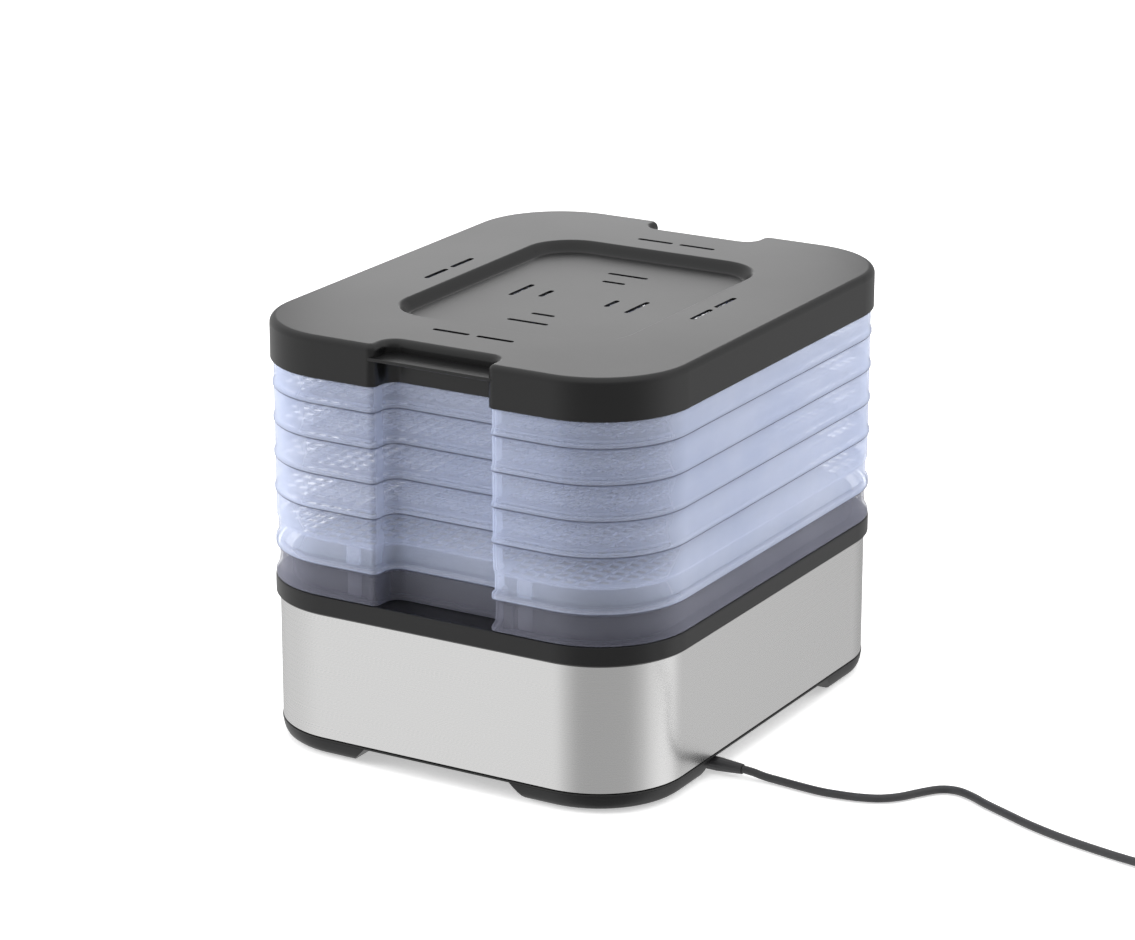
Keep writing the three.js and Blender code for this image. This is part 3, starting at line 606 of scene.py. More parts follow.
def sheet_metal(name, dark, light, low, high, scale=60.0):
    """Plated sheet or turned metal with a cloudy tone and uneven shine."""
    material, tree, shader, place = start_material(name)
    shader.inputs["Metallic"].default_value = 1.0
    cloud = mix_noise(tree, place, scale, 6.0, 0.0, 1.0)
    tree.links.new(two_tone(tree, cloud, dark, light), shader.inputs["Base Color"])
    tree.links.new(mix_noise(tree, place, scale * 3.0, 3.0, low, high), shader.inputs["Roughness"])
    return material


foot_rubber = moulded_plastic("foot_rubber", (0.022, 0.022, 0.022), (0.045, 0.044, 0.043), 0.8, 1600.0, 0.2,
                              cloud=50.0)
dress(foot_rubber, "foot_rubber", *[f"foot_pad_{number}" for number in range(1, 5)])
zinc_plate = sheet_metal("zinc_plate", (0.46, 0.47, 0.48), (0.64, 0.65, 0.65), 0.24, 0.42)
zinc_parts = ["air_duct", "motor_bracket", "fan_motor", "motor_shaft", "knob_shaft", "bracket_screw_1",
              "bracket_screw_2", "clamp_screw_1", "clamp_screw_2"]
dress(zinc_plate, "zinc_steel", *zinc_parts, *[f"pan_screw_{number}" for number in range(1, 5)])
nylon_white = moulded_plastic("nylon_white", (0.62, 0.60, 0.54), (0.76, 0.74, 0.68), 0.5, 1000.0, cloud=50.0)
dress(nylon_white, "white_nylon", "thermal_cutout", "thermostat_body", "cord_clamp", "terminal_block")
mica_board = moulded_plastic("mica_board", (0.42, 0.33, 0.20), (0.62, 0.54, 0.40), 0.45, 500.0, 0.25,
                             cloud=90.0)
dress(mica_board, "mica", "heater_frame")
wire_brown = moulded_plastic("wire_brown", (0.14, 0.05, 0.018), (0.19, 0.075, 0.03), 0.42, 1500.0, cloud=40.0)
dress(wire_brown, "brown_lead", "switch_lead")
wire_blue = moulded_plastic("wire_blue", (0.02, 0.07, 0.25), (0.035, 0.10, 0.33), 0.42, 1500.0, cloud=40.0)
dress(wire_blue, "blue_lead", "thermostat_lead")
dress(cord_vinyl, "cord_rubber", "inner_cord", "cord_gland")


# ---- Heating wires -------------------------------------------------------------------------------
# Two rings of wound resistance wire, darkened by heat, threaded round the mica boards in the duct.
heater_oxide = sheet_metal("heater_oxide", (0.10, 0.085, 0.075), (0.24, 0.19, 0.15), 0.4, 0.62, 220.0)
heater_wire_radius = 0.45 * MM
winding_pitch = 2.6 * MM
steps_per_winding = 9
for label in ("inner", "outer"):
    ring_low, ring_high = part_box(f"heater_coil_{label}")
    ring_radius = ring_high.x - (ring_high.z - ring_low.z) / 2
    winding_radius = (ring_high.z - ring_low.z) / 2 - heater_wire_radius
    ring_z = (ring_low.z + ring_high.z) / 2
    windings = round(2.0 * math.pi * ring_radius / winding_pitch)
    wire_curve = bpy.data.curves.new(f"heating_wire_{label}", "CURVE")
    wire_curve.dimensions = "3D"
    loops = wire_curve.splines.new("POLY")
    count = windings * steps_per_winding
    loops.points.add(count - 1)
    for number, point in enumerate(loops.points):
        around = 2.0 * math.pi * number / count
        wound = around * windings
        reach = ring_radius + winding_radius * math.cos(wound)
        point.co = (reach * math.cos(around), reach * math.sin(around),
                    ring_z + winding_radius * math.sin(wound), 1.0)
    loops.use_cyclic_u = True
    wire_curve.bevel_depth = heater_wire_radius
    wire_curve.bevel_resolution = 1
    wire = bpy.data.objects.new(f"heating_wire_{label}", wire_curve)
    bpy.context.scene.collection.objects.link(wire)
    only(wire)
    bpy.ops.object.convert(target="MESH")
    wire = bpy.context.object
    shade(wire, 60.0)
    finish_piece(wire, heater_oxide, "base", "heater_wire", f"heater_coil_{label}")


# ---- Steel sleeve --------------------------------------------------------------------------------
# One strip of satin stainless sheet bent round the base, its ends butted behind the control panel.
# It stands on the pan's thin lip, and the black rim caps its upper edge.
steel_base = 12.0
steel_crown = 91.0
sleeve = plan_skin("steel_sleeve", [(-0.5, steel_base), (0, steel_base + 0.5), (0, 45), (0, 70),
                                    (0, steel_crown - 0.5), (-0.5, steel_crown)], False, fine=24)
thicken(sleeve, 1.0 * MM)
panel_low, panel_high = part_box("control_panel")
panel_hole = rounded_face("panel_hole", (0.0, -half_deep), 62.5 * MM, 10 * MM, 0.01 * MM, 30.5 * MM, 1)
raise_wall(panel_hole, in_mm((0, 30.5), (0, 75.5)), True)
combine(sleeve, panel_hole)
shade(sleeve, 35.0)
satin_steel, steel_tree, steel_shader, steel_place = start_material("satin_steel")
steel_shader.inputs["Metallic"].default_value = 1.0
strokes = steel_tree.nodes.new("ShaderNodeMapping")
strokes.inputs["Scale"].default_value = (7.0, 7.0, 5200.0)
steel_tree.links.new(steel_place, strokes.inputs["Vector"])
brushing = steel_tree.nodes.new("ShaderNodeTexNoise")
brushing.inputs["Scale"].default_value = 1.0
brushing.inputs["Detail"].default_value = 3.0
steel_tree.links.new(strokes.outputs["Vector"], brushing.inputs["Vector"])
steel_tone = two_tone(steel_tree, brushing.outputs["Fac"], (0.788, 0.785, 0.781), (0.80, 0.797, 0.793))
steel_tree.links.new(steel_tone, steel_shader.inputs["Base Color"])
steel_tree.links.new(mix_noise(steel_tree, strokes.outputs["Vector"], 0.6, 4.0, 0.265, 0.28),
                     steel_shader.inputs["Roughness"])
finish_piece(sleeve, satin_steel, "base", "steel", "steel_wrap")


# ---- Deck ----------------------------------------------------------------------------------------
# Black moulded top of the base. Its rounded rim caps the steel, the collar stands on the flat ledge,
# and a plinth with side cheeks in the grip notches rises inside the collar round the air outlet.
deck = plan_skin("top_deck", [(1.6, 91.3), (2.5, 92.2), (2.5, 101.9), (2.2, 102.8), (1.5, 103.4),
                              (0.6, 103.6)], False, True, 18)
plinth = plan_skin("plinth", [(-8, 98), (-8, 118.2), (-8.8, 119)], True, True)
combine(deck, plinth, "UNION")
for side_x in (-1, 1):
    for side_y in (-1, 1):
        low_x, high_x = sorted((side_x * 144 * MM, side_x * 162 * MM))
        low_y, high_y = sorted((side_y * 43.9 * MM, side_y * 50 * MM))
        cheek = add_block("cheek", (low_x, low_y, 98 * MM), (high_x, high_y, 118.5 * MM))
        soften(cheek, 0.8 * MM, 2)
        combine(deck, cheek, "UNION")
under = plan_skin("under", [(-11, 90), (-11, 116)], True, True, 8)
combine(deck, under)
bpy.ops.object.select_all(action="DESELECT")
bpy.ops.mesh.primitive_cylinder_add(vertices=96, radius=56 * MM, depth=60 * MM, location=(0, 0, 0.11))
outlet_hole = fresh("outlet_hole")
combine(deck, outlet_hole)
level_shading(deck)
finish_piece(deck, base_black, "base", "black_plastic", "base_deck")


# ---- Outlet grille -------------------------------------------------------------------------------
# Moulded grille of concentric rings on eight spokes that covers the warm air outlet.
grille_low, grille_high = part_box("outlet_grille")
ring_bar = 1.15 * MM
grille_pieces = []
for ring_at in (8, 16, 24, 32, 40, 48, 54.4):
    bpy.ops.object.select_all(action="DESELECT")
    bpy.ops.mesh.primitive_torus_add(major_radius=ring_at * MM, minor_radius=ring_bar, major_segments=72,
                                     minor_segments=8, location=(0, 0, grille_high.z - ring_bar))
    grille_pieces.append(fresh("grille_ring"))
for spoke in range(8):
    bar = add_block("grille_spoke", (3 * MM, -1.2 * MM, grille_low.z),
                    (54.5 * MM, 1.2 * MM, grille_high.z - 0.3 * MM))
    soften(bar, 0.5 * MM, 2)
    spoke_turn = math.radians(45 * spoke + 22.5)
    bpy.ops.transform.rotate(value=-spoke_turn, orient_axis="Z", center_override=(0, 0, 0))
    bpy.ops.object.transform_apply(location=True, rotation=True, scale=True)
    grille_pieces.append(bar)
bpy.ops.object.select_all(action="DESELECT")
bpy.ops.mesh.primitive_cylinder_add(vertices=40, radius=7 * MM, depth=2.0 * MM,
                                    location=(0, 0, grille_high.z - 1.1 * MM))
grille_boss = fresh("grille_boss")
soften(grille_boss, 0.6 * MM, 3)
grille = merge("air_grille", [*grille_pieces, grille_boss])
shade(grille)
finish_piece(grille, base_black, "base", "black_plastic", "outlet_grille")

impeller_black = moulded_plastic("impeller_black", (0.014, 0.014, 0.015), (0.028, 0.028, 0.03), 0.5,
                                 cloud=30.0)
dress(impeller_black, "black_plastic", "fan_impeller")


# ---- Control panel -------------------------------------------------------------------------------
# Flat black plate snapped into the front of the steel, with a shallow rim round it and printed dial
# marks. It carries the dial, the pilot lamp and the power switch.
def flat_text(text, size, x, z, y):
    """Printed lettering that reads from the front, a hair proud of the surface at y."""
    bpy.ops.object.select_all(action="DESELECT")
    bpy.ops.object.text_add()
    words = bpy.context.object
    words.data.body = text
    words.data.size = size
    words.data.align_x = "CENTER"
    words.data.align_y = "CENTER"
    words.data.extrude = 0.05 * MM
    words.data.resolution_u = 3
    bpy.ops.object.convert(target="MESH")
    words = bpy.context.object
    words.data.transform(Matrix.Translation((x, y, z)) @ Matrix.Rotation(math.radians(90.0), 4, "X"))
    return words


def box_middle(node):
    low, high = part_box(node)
    return (low + high) / 2


panel = add_block("front_panel", panel_low, panel_high)
edit("EDGE")
pick(panel, lambda a, b: abs(a.x - b.x) < touching and abs(a.z - b.z) < touching, "edges")
bpy.ops.mesh.bevel(offset=4 * MM, segments=6, affect="EDGES")
pick(panel, lambda middle, normal: normal.y < -0.9, "faces")
bpy.ops.mesh.inset(thickness=1.0 * MM)
bpy.ops.mesh.inset(thickness=0.5 * MM, depth=-0.35 * MM)
bpy.ops.object.mode_set(mode="OBJECT")
soften(panel, 0.25 * MM, 2)
level_shading(panel)
panel_black = moulded_plastic("panel_black", (0.012, 0.012, 0.013), (0.02, 0.02, 0.021), 0.38, 1300.0, 0.08,
                              cloud=20.0)
finish_piece(panel, panel_black, "base", "panel_plastic", "control_panel")

knob_middle = box_middle("temperature_knob")
print_face = panel_low.y + 0.33 * MM
scale_marks = []
dial_start = 135.0
dial_sweep = 270.0
last_mark = 10


def mark_angle(mark):
    return math.radians(90.0 + dial_start - dial_sweep * mark / last_mark)


for mark in range(last_mark + 1):
    inner = 20.6 * MM
    outer = (23.2 if mark % 2 == 0 else 22.0) * MM
    tick = add_block("tick", (inner, -0.05 * MM, -0.25 * MM), (outer, 0.05 * MM, 0.25 * MM))
    tick.data.transform(Matrix.Translation((knob_middle.x, print_face, knob_middle.z))
                        @ Matrix.Rotation(-mark_angle(mark), 4, "Y"))
    scale_marks.append(tick)
for mark, text in ((0, "40"), (last_mark, "70")):
    angle = mark_angle(mark)
    scale_marks.append(flat_text(text, 3.6 * MM, knob_middle.x + 25.5 * MM * math.cos(angle),
                                 knob_middle.z + 24.0 * MM * math.sin(angle), print_face))
lamp_middle = box_middle("pilot_lamp")
below_lamp = lamp_middle.z - 7.5 * MM
scale_marks.append(flat_text("POWER", 3.0 * MM, lamp_middle.x, below_lamp, print_face))
print_marks = merge("panel_print", scale_marks)
print_white = moulded_plastic("print_white", (0.62, 0.62, 0.62), (0.78, 0.78, 0.78), 0.55, 900.0, 0.05,
                              cloud=80.0)
finish_piece(print_marks, print_white, "base", "panel_plastic")


# ---- Temperature dial ----------------------------------------------------------------------------
# Semi-gloss knob on the thermostat shaft: a skirt, a fluted grip and a moulded white pointer.
knob_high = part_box("temperature_knob")[1]
bpy.ops.object.select_all(action="DESELECT")
skirt = 3 * MM
dial_sides = 72
bpy.ops.mesh.primitive_cylinder_add(vertices=dial_sides, radius=knob_high.x - knob_middle.x, depth=skirt,
                                    location=(knob_middle.x, knob_high.y - skirt / 2, knob_middle.z),
                                    rotation=(math.pi / 2, 0, 0))
dial = fresh("temperature_dial")
edit("FACE")
pick(dial, lambda middle, normal: normal.y < -0.9, "faces")
bpy.ops.mesh.inset(thickness=2.2 * MM, depth=0.9 * MM)
bpy.ops.mesh.inset(thickness=0.8 * MM)
bpy.ops.mesh.extrude_region_shrink_fatten(TRANSFORM_OT_shrink_fatten={"value": 9.6 * MM})
bpy.ops.transform.resize(value=(0.94, 1.0, 0.94), center_override=tuple(knob_middle))
grip_front = knob_high.y - skirt


def in_a_flute(middle, normal):
    """Every third side face of the grip."""
    turned = (math.atan2(middle.z - knob_middle.z, middle.x - knob_middle.x) + math.pi) / (2 * math.pi)
    return middle.y < grip_front - 2 * MM and abs(normal.y) < 0.5 and int(turned * dial_sides) % 3 == 0


pick(dial, in_a_flute, "faces")
bpy.ops.mesh.inset(thickness=0.25 * MM, use_individual=True)
bpy.ops.mesh.extrude_faces_move(TRANSFORM_OT_shrink_fatten={"value": -0.8 * MM})
pick(dial, lambda middle, normal: normal.y < -0.9 and middle.y < grip_front - 5 * MM, "faces")
bpy.ops.mesh.inset(thickness=1.6 * MM)
bpy.ops.mesh.inset(thickness=0.4 * MM, depth=-0.3 * MM)
bpy.ops.object.mode_set(mode="OBJECT")
soften(dial, 0.35 * MM, 2, 40.0)
shade(dial, 35.0)
knob_black = moulded_plastic("knob_black", (0.010, 0.010, 0.011), (0.018, 0.018, 0.019), 0.26, 1500.0, 0.04,
                             cloud=30.0)
finish_piece(dial, knob_black, "dial", "knob_plastic", "temperature_knob")
dial_front = min(vertex.co.y for vertex in dial.data.vertices)
pointer_angle = mark_angle(0)
pointer = add_block("dial_pointer", (5 * MM, -0.2 * MM, -0.6 * MM), (12.4 * MM, 0.3 * MM, 0.6 * MM))
pointer.data.transform(Matrix.Translation((knob_middle.x, dial_front + 0.15 * MM, knob_middle.z))
                       @ Matrix.Rotation(-pointer_angle, 4, "Y"))
soften(pointer, 0.12 * MM, 2)
shade(pointer)
finish_piece(pointer, print_white, "dial", "knob_plastic")


# ---- Power switch and pilot lamp -----------------------------------------------------------------
# A rocker switch pushed into the panel with its bezel, a two-way rocker whose on and off marks are not
# drawn, and a small amber lens over the pilot lamp.
def own_copy(node_name, name):
    """A free copy of a CAD node, without the node's marks."""
    piece = copy_piece(frame["nodes"][node_name], name)
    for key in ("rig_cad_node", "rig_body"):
        if key in piece:
            del piece[key]
    return piece


switch = own_copy("switch_body", "switch_case")
soften(switch, 0.35 * MM, 2)
shade(switch)
finish_piece(switch, knob_black, "base", "knob_plastic", "switch_body")

rocker = own_copy("power_rocker", "switch_rocker")
soften(rocker, 0.5 * MM, 3)
shade(rocker)
finish_piece(rocker, knob_black, "rocker", "knob_plastic", "power_rocker")

lens_radius = 2.6 * MM
lens_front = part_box("pilot_lamp")[0].y
bpy.ops.object.select_all(action="DESELECT")
bpy.ops.mesh.primitive_uv_sphere_add(segments=32, ring_count=20, radius=lens_radius,
                                     location=(lamp_middle.x, lens_front + lens_radius, lamp_middle.z))
lens = fresh("pilot_lens")
edit("VERT")
bpy.ops.mesh.select_all(action="SELECT")
lens_back = panel_low.y + 1.2 * MM
bpy.ops.mesh.bisect(plane_co=(0, lens_back, 0), plane_no=(0, 1, 0), clear_outer=True, use_fill=True)
bpy.ops.object.mode_set(mode="OBJECT")
shade(lens, 50.0)
lamp_amber, lamp_tree, lamp_shader, lamp_place = start_material("lamp_amber")
lamp_shader.inputs["Base Color"].default_value = (0.75, 0.20, 0.02, 1.0)
lamp_shader.inputs["Coat Weight"].default_value = 0.5
lamp_shader.inputs["Transmission Weight"].default_value = 0.35
lamp_tree.links.new(mix_noise(lamp_tree, lamp_place, 500.0, 2.0, 0.12, 0.28), lamp_shader.inputs["Roughness"])
finish_piece(lens, lamp_amber, "base", "lamp_lens", "pilot_lamp")


# ---- Clear plastics ------------------------------------------------------------------------------
# The collar and the trays are injection-moulded in clear, faintly blue plastic. Each surface lets part
# of the light through and catches more of it at a glancing angle; flow marks leave it slightly uneven.
# A thin painted shade line darkens the seam under each tray's bead.
def clear_plastic(name, tint, deep, face_alpha, edge_alpha, low, high, first_seam=0.0, seam_pitch=1.0):
    """Clear plastic whose cover grows at a glancing angle, with a painted shade line along the seam under
    each tray's bead: darker colour and more cover there.
    """
    material, tree, shader, place = start_material(name)
    tone = two_tone(tree, mix_noise(tree, place, 14.0, 5.0, 0.0, 1.0), tint, deep)
    tree.links.new(mix_noise(tree, place, 60.0, 4.0, low, high), shader.inputs["Roughness"])
    height = tree.nodes.new("ShaderNodeSeparateXYZ")
    tree.links.new(place, height.inputs[0])
    above = tree.nodes.new("ShaderNodeMath")
    above.operation = "SUBTRACT"
    above.inputs[1].default_value = first_seam
    tree.links.new(height.outputs["Z"], above.inputs[0])
    within = tree.nodes.new("ShaderNodeMath")
    within.operation = "FLOORED_MODULO"
    within.inputs[1].default_value = seam_pitch
    tree.links.new(above.outputs[0], within.inputs[0])
    # Painted shade: a thin band just above each seam height gets a dark colour and more cover, standing in
    # for the shade under the bead.
    seam = tree.nodes.new("ShaderNodeMapRange")
    seam.inputs["From Min"].default_value = 0.0005
    seam.inputs["From Max"].default_value = 0.0011
    seam.inputs["To Min"].default_value = 1.0
    seam.inputs["To Max"].default_value = 0.0
    tree.links.new(within.outputs[0], seam.inputs["Value"])
    seam_shade_colour = tree.nodes.new("ShaderNodeMix")
    seam_shade_colour.data_type = "RGBA"
    seam_shade_colour.inputs["B"].default_value = (0.05, 0.055, 0.085, 1.0)
    tree.links.new(seam.outputs["Result"], seam_shade_colour.inputs["Factor"])
    tree.links.new(tone, seam_shade_colour.inputs["A"])
    tree.links.new(seam_shade_colour.outputs["Result"], shader.inputs["Base Color"])
    facing = tree.nodes.new("ShaderNodeLayerWeight")
    facing.inputs["Blend"].default_value = 0.35
    cover = tree.nodes.new("ShaderNodeMapRange")
    cover.inputs["To Min"].default_value = face_alpha
    cover.inputs["To Max"].default_value = edge_alpha
    tree.links.new(facing.outputs["Facing"], cover.inputs["Value"])
    seam_shade_cover = tree.nodes.new("ShaderNodeMath")
    seam_shade_cover.operation = "MULTIPLY_ADD"
    seam_shade_cover.use_clamp = True
    seam_shade_cover.inputs[1].default_value = 0.5
    tree.links.new(seam.outputs["Result"], seam_shade_cover.inputs[0])
    tree.links.new(cover.outputs["Result"], seam_shade_cover.inputs[2])
    tree.links.new(seam_shade_cover.outputs[0], shader.inputs["Alpha"])
    ripple = tree.nodes.new("ShaderNodeTexNoise")
    ripple.inputs["Scale"].default_value = 75.0
    ripple.inputs["Detail"].default_value = 6.0
    tree.links.new(place, ripple.inputs["Vector"])
    relief = tree.nodes.new("ShaderNodeBump")
    relief.inputs["Strength"].default_value = 0.22
    relief.inputs["Distance"].default_value = 0.0006
    tree.links.new(ripple.outputs["Fac"], relief.inputs["Height"])
    tree.links.new(relief.outputs["Normal"], shader.inputs["Normal"])
    return material


collar_smoke = clear_plastic("collar_smoke", (0.24, 0.245, 0.31), (0.18, 0.185, 0.25), 0.17, 0.75, 0.08, 0.20)


# ---- Collar --------------------------------------------------------------------------------------
# Smoke-tinted ring with no floor that stands on the rim and steps in under the first tray. Its foot
# flares out over the ledge, and its wall follows the grip notches.
def moulded_ribs(inner, outer, foot, top):
    """Short upright ribs inside the ends, on either side of each grip notch."""
    ribs = []
    for end in (-1, 1):
        for rib_y in (-57.5, 60.0):
            low_x, high_x = sorted((end * (half_long - inner * MM), end * (half_long - outer * MM)))
            ribs.append(add_block("rib", (low_x, (rib_y - 4.5) * MM, foot * MM),
                                  (high_x, (rib_y + 4.5) * MM, top * MM)))
    for rib in ribs:
        soften(rib, 0.5 * MM, 3)
    return ribs


collar = plan_skin("smoke_collar", [(2.2, 103.95), (2.2, 105.2), (1.6, 106.6), (0.7, 108.0), (0.1, 109.6),
                                    (-0.3, 114), (-0.4, 121.6), (-0.7, 122.2), (-1.7, 122.25),
                                    (-1.7, 124.7)], True, False, 16)
thicken(collar, 1.8 * MM)
collar = merge("smoke_collar", [collar, *moulded_ribs(4.6, 2.6, 106, 121)])
shade(collar, 40.0)
finish_piece(collar, collar_smoke, "collar", "smoke_plastic", "collar_ring")


# ---- Trays ---------------------------------------------------------------------------------------
# Five trays moulded in clear plastic, each with a bead round its foot and a ridge on top that locates
# the next one. The bottom tray is taller. A fine mesh floor is pressed into each.
def tray_mesh(name, z, out):
    """The open mesh floor of a tray: square holes between thin bars, with a solid border."""
    cell = 9.0 * MM
    bar = 0.8 * MM
    floor = plan_face(name, out, z, True, 12)
    for axis, reach in ((0, half_long), (1, half_deep)):
        lines = int(reach / cell)
        for number in range(-lines, lines + 1):
            at = [0.0, 0.0, z]
            at[axis] = number * cell
            normal = [0.0, 0.0, 0.0]
            normal[axis] = 1.0
            bpy.ops.mesh.select_all(action="SELECT")
            bpy.ops.mesh.bisect(plane_co=at, plane_no=normal)
    whole = cell * cell * 0.98
    bpy.ops.mesh.select_mode(type="FACE")
    mesh = bmesh.from_edit_mesh(floor.data)
    for face in mesh.faces:
        face.select_set(face.calc_area() > whole)
    bmesh.update_edit_mesh(floor.data)
    bpy.ops.mesh.inset(thickness=bar, use_individual=True)
    bpy.ops.mesh.delete(type="FACE")
    bpy.ops.mesh.select_all(action="SELECT")
    bpy.ops.mesh.normals_make_consistent(inside=False)
    bpy.ops.object.mode_set(mode="OBJECT")
    if floor.data.polygons[0].normal.z < 0:
        floor.data.flip_normals()
    thicken(floor, 1.5 * MM)
    return floor


tray_pitch = 21.6
first_top = 156.7
tray_tint = (0.64, 0.70, 0.88)
tray_deep = (0.54, 0.61, 0.82)
first_low = 122.6
# The seam heights given here set where the painted shade line falls on each tray.
first_clear = clear_plastic("first_tray_clear", tray_tint, tray_deep, 0.14, 0.8, 0.08, 0.24, first_low * MM)
tray_clear = clear_plastic("tray_clear", tray_tint, tray_deep, 0.18, 0.85, 0.08, 0.24,
                           (first_top + 0.3) * MM, tray_pitch * MM)
mesh_clear = clear_plastic("mesh_clear", (0.34, 0.39, 0.56), (0.26, 0.30, 0.46), 0.42, 0.85, 0.12, 0.3)
first_tray = plan_skin("clear_tray_1", [(1.7, first_low), (2.0, 123.0), (2.0, 126.2), (1.2, 127.2),
                                        (0.2, 128.2), (0.2, 138.8), (0.8, 140.2), (1.2, 141.2), (1.2, 149),
                                        (1.2, 156.3), (0.9, 156.7), (-0.7, 156.75), (-0.7, 158.6),
                                        (-1.1, 159.15)], True, False, 16)
thicken(first_tray, 1.5 * MM)
first_tray = merge("clear_tray_1", [first_tray, *moulded_ribs(4.4, 1.6, 126, 137)])
shade(first_tray, 40.0)
finish_piece(first_tray, first_clear, "tray_1", "clear_plastic", "tray_1")
first_floor = tray_mesh("clear_floor_1", 138.6 * MM, -1.55 * MM)
finish_piece(first_floor, mesh_clear, "tray_1", "clear_plastic", "tray_1_floor")

low_edge = first_top
upper_tray = plan_skin("clear_tray_2", [(1.7, low_edge + 0.35), (2.0, low_edge + 0.7), (2.0, low_edge + 1.8),
                                        (1.6, low_edge + 3.2), (1.2, low_edge + 4.6), (1.2, low_edge + 12),
                                        (1.2, low_edge + 21.2), (0.9, low_edge + 21.6),
                                        (-0.7, low_edge + 21.65), (-0.7, low_edge + 23.5),
                                        (-1.1, low_edge + 24.05)], True, False, 16)
thicken(upper_tray, 1.5 * MM)
shade(upper_tray, 40.0)
upper_floor = tray_mesh("clear_floor_2", (low_edge + 5.15) * MM, -0.6 * MM)
for number in range(2, 6):
    lift = (0.0, 0.0, (number - 2) * tray_pitch * MM)
    tray = upper_tray if number == 2 else copy_piece(upper_tray, f"clear_tray_{number}", lift)
    mesh_floor = upper_floor if number == 2 else copy_piece(upper_floor, f"clear_floor_{number}", lift)
    finish_piece(tray, tray_clear, f"tray_{number}", "clear_plastic", f"tray_{number}")
    finish_piece(mesh_floor, mesh_clear, f"tray_{number}", "clear_plastic", f"tray_{number}_floor")


# ---- Lid -----------------------------------------------------------------------------------------
# Thick black moulded lid with softly rounded edges. A shallow well in its top holds a ring of vents,
# more vents run round it, and a small ledge bridges each grip notch for the fingers.
edge_steps = [(3.0 - 4.2 * (1.0 - math.cos(math.radians(90.0 * step / 7))),
               259.2 + 4.3 * math.sin(math.radians(90.0 * step / 7))) for step in range(8)]
lid_foot = 238.0
lid = plan_skin("vented_lid", [(2.6, lid_foot), (3.0, 238.5), (3.0, 248), *edge_steps], True, True, 20)
well_floor = 256.8
well_steps = []
for step in range(9):
    share = step / 8
    well_steps.append((-6.5 + 7.5 * share, well_floor + 6.75 * share * share * (3.0 - 2.0 * share)))
well = rounded_face("well", (0.0, 0.0), (102 - 6.5) * MM, (78 - 6.5) * MM, 24 * MM, well_floor * MM, 12)
well_shift = well_steps[0][0]
above_lid = (2.0 - well_shift, 267.0)
raise_wall(well, in_mm(*[(out - well_shift, z) for out, z in well_steps], above_lid), True)
combine(lid, well)
ledge_half = 42 * MM
for side_x in (-1, 1):
    ledge_ends = sorted((side_x * 151.6 * MM, side_x * (half_long + 2.95 * MM)))
    ledge = add_block("ledge", (ledge_ends[0], -ledge_half, 253.9 * MM),
                      (ledge_ends[1], ledge_half, 256 * MM))
    soften(ledge, 0.6 * MM, 3)
    combine(lid, ledge, "UNION")
edit("FACE")
pick(lid, lambda middle, normal: normal.z < -0.9 and middle.z < (lid_foot + 1) * MM, "faces")
bpy.ops.mesh.delete(type="FACE")
bpy.ops.object.mode_set(mode="OBJECT")
thicken(lid, 1.5 * MM)
vent_width = 3.4
vents = []
for side in (-1, 1):
    for half in (-1, 1):
        vents += [(side * 122, half * 15, vent_width, 25), (half * 15, side * 92.6, 25, vent_width)]
    vents += [(side * 42.5, 0, vent_width, 16), (0, side * 23, 16, vent_width)]
    vents += [(side * 60.5, 0, vent_width, 28), (0, side * 40.5, 28, vent_width)]
vent_tool = None
for at_x, at_y, size_x, size_y in vents:
    vent = rounded_face("vent", (at_x * MM, at_y * MM), size_x / 2 * MM, size_y / 2 * MM,
                        vent_width / 2 * MM - 1e-6, 250 * MM, 6)
    raise_wall(vent, in_mm((0, 250), (0, 268)), True)
    vent_tool = vent if vent_tool is None else merge("vents", [vent_tool, vent])
combine(lid, vent_tool)
level_shading(lid)
lid_black = moulded_plastic("lid_black", (0.0030, 0.0030, 0.0032), (0.0058, 0.0058, 0.0060), 0.33, 1200.0,
                            0.06, cloud=7.0)
finish_piece(lid, lid_black, "lid", "lid_plastic", "lid")


# ---- Floor and light -----------------------------------------------------------------------------
# A white sweep to stand on, a wide soft light overhead and a surround that is darker on the side the
# near corner mirrors.
bpy.ops.object.select_all(action="DESELECT")
bpy.ops.mesh.primitive_plane_add(size=2.0, location=(0, 0, -0.0002))
ground = fresh("ground")
edit("VERT")
bpy.ops.mesh.select_all(action="SELECT")
bpy.ops.transform.resize(value=(12.0, 12.0, 1.0))
bpy.ops.object.mode_set(mode="OBJECT")
ground_white, ground_tree, ground_shader, ground_place = start_material("ground_white")
ground_shader.inputs["Base Color"].default_value = (0.9, 0.9, 0.9, 1.0)
ground_shader.inputs["Emission Color"].default_value = (1.0, 1.0, 1.0, 1.0)
ground_shader.inputs["Emission Strength"].default_value = 0.45
ground_matt = mix_noise(ground_tree, ground_place, 3.0, 3.0, 0.75, 0.9)
ground_tree.links.new(ground_matt, ground_shader.inputs["Roughness"])
ground.data.materials.append(ground_white)
ground.visible_glossy = False

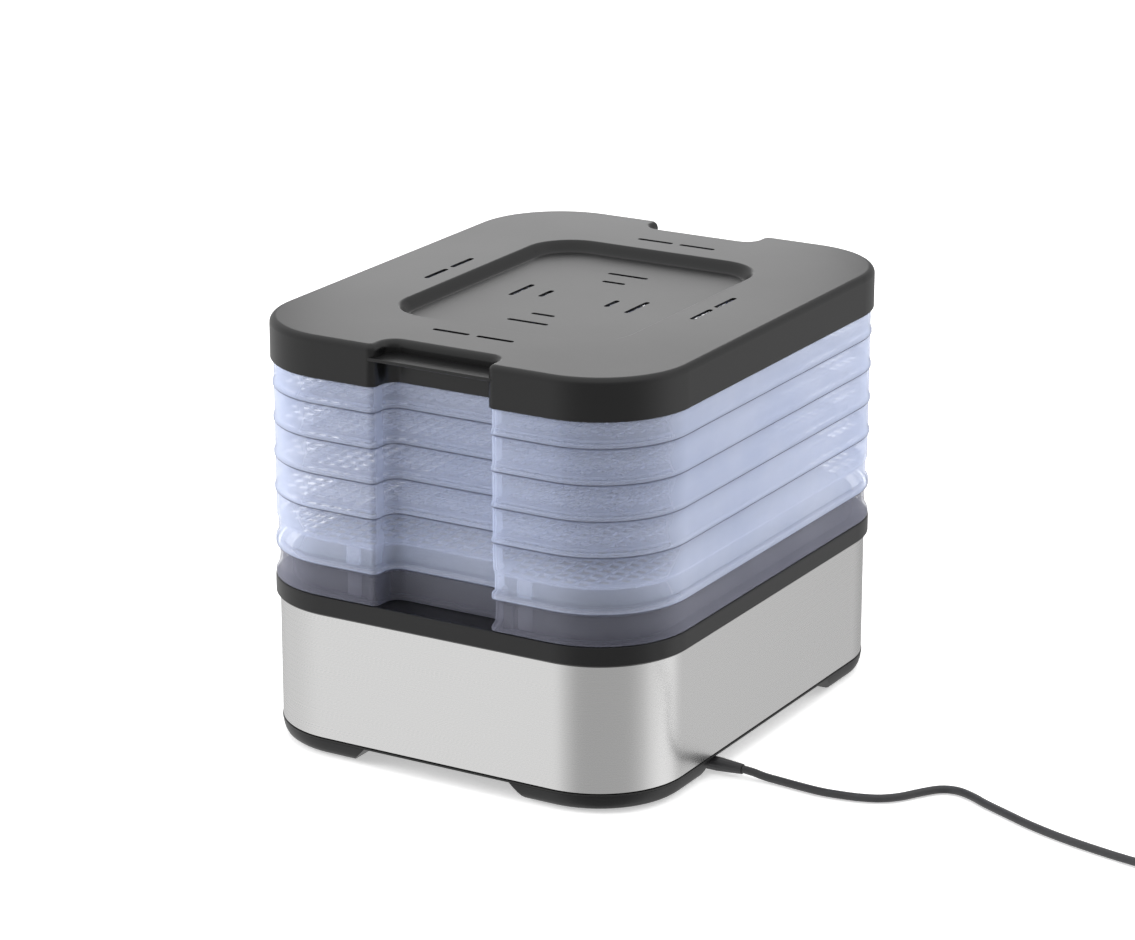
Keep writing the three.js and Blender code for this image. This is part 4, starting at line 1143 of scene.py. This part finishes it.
world = bpy.data.worlds.new("studio")
bpy.context.scene.world = world
world.use_nodes = True
sky = world.node_tree
sky.nodes.clear()
look = sky.nodes.new("ShaderNodeTexCoord")
parts = sky.nodes.new("ShaderNodeSeparateXYZ")
sky.links.new(look.outputs["Generated"], parts.inputs[0])
azimuth = sky.nodes.new("ShaderNodeMath")
azimuth.operation = "ARCTAN2"
sky.links.new(parts.outputs["Y"], azimuth.inputs[0])
sky.links.new(parts.outputs["X"], azimuth.inputs[1])
around = sky.nodes.new("ShaderNodeMapRange")
around.inputs["From Min"].default_value = -math.pi
around.inputs["From Max"].default_value = math.pi
sky.links.new(azimuth.outputs[0], around.inputs["Value"])
walls = sky.nodes.new("ShaderNodeValToRGB")
walls.color_ramp.interpolation = "EASE"
wall_tones = [(-180, 0.44), (-90, 0.72), (-24, 0.86), (-10, 0.60), (4, 0.42), (66, 0.43), (82, 0.55),
              (96, 0.80), (112, 0.96), (128, 0.92), (142, 0.62), (180, 0.44)]
while len(walls.color_ramp.elements) < len(wall_tones):
    walls.color_ramp.elements.new(0.5)
for stop, (degrees, tone) in zip(walls.color_ramp.elements, wall_tones):
    stop.position = (degrees + 180) / 360
    stop.color = (tone, tone, tone, 1.0)
sky.links.new(around.outputs["Result"], walls.inputs["Fac"])
ceiling = sky.nodes.new("ShaderNodeMapRange")
ceiling.inputs["From Min"].default_value = 0.5
ceiling.inputs["From Max"].default_value = 0.8
sky.links.new(parts.outputs["Z"], ceiling.inputs["Value"])
dome = sky.nodes.new("ShaderNodeMix")
dome.data_type = "RGBA"
dome.inputs["B"].default_value = (1.0, 1.0, 1.0, 1.0)
sky.links.new(ceiling.outputs["Result"], dome.inputs["Factor"])
sky.links.new(walls.outputs["Color"], dome.inputs["A"])
seen_by = sky.nodes.new("ShaderNodeLightPath")
fill = sky.nodes.new("ShaderNodeMix")
fill.data_type = "RGBA"
fill.inputs["B"].default_value = (0.62, 0.62, 0.62, 1.0)
sky.links.new(seen_by.outputs["Is Diffuse Ray"], fill.inputs["Factor"])
sky.links.new(dome.outputs["Result"], fill.inputs["A"])
backdrop = sky.nodes.new("ShaderNodeMix")
backdrop.data_type = "RGBA"
backdrop.inputs["B"].default_value = (1.0, 1.0, 1.0, 1.0)
sky.links.new(seen_by.outputs["Is Camera Ray"], backdrop.inputs["Factor"])
sky.links.new(fill.outputs["Result"], backdrop.inputs["A"])
shine = sky.nodes.new("ShaderNodeBackground")
sky.links.new(backdrop.outputs["Result"], shine.inputs["Color"])
sky_out = sky.nodes.new("ShaderNodeOutputWorld")
sky.links.new(shine.outputs["Background"], sky_out.inputs["Surface"])


def soft_light(name, place, aim, size, power):
    light = bpy.data.lights.new(name, "AREA")
    light.size = size
    light.energy = power
    lamp = bpy.data.objects.new(name, light)
    lamp.location = place
    lamp.rotation_euler = (Vector(aim) - Vector(place)).to_track_quat("-Z", "Y").to_euler()
    bpy.context.scene.collection.objects.link(lamp)
    return lamp


overhead = soft_light("overhead", (-0.3, -0.2, 2.6), (0.0, 0.0, 0.0), 2.4, 45.0)
soft_light("rear_glow", (-0.85, -0.5, 0.55), (0.0, 0.0, 0.26), 0.5, 0.85)
end_fill = soft_light("end_fill", (0.85, -1.35, 0.75), (0.0, 0.0, 0.15), 1.0, 16.0)
side_fill = soft_light("side_fill", (-1.35, 0.85, 0.75), (0.0, 0.0, 0.15), 1.0, 13.0)
for lamp in (overhead, end_fill, side_fill):
    lamp.visible_glossy = False
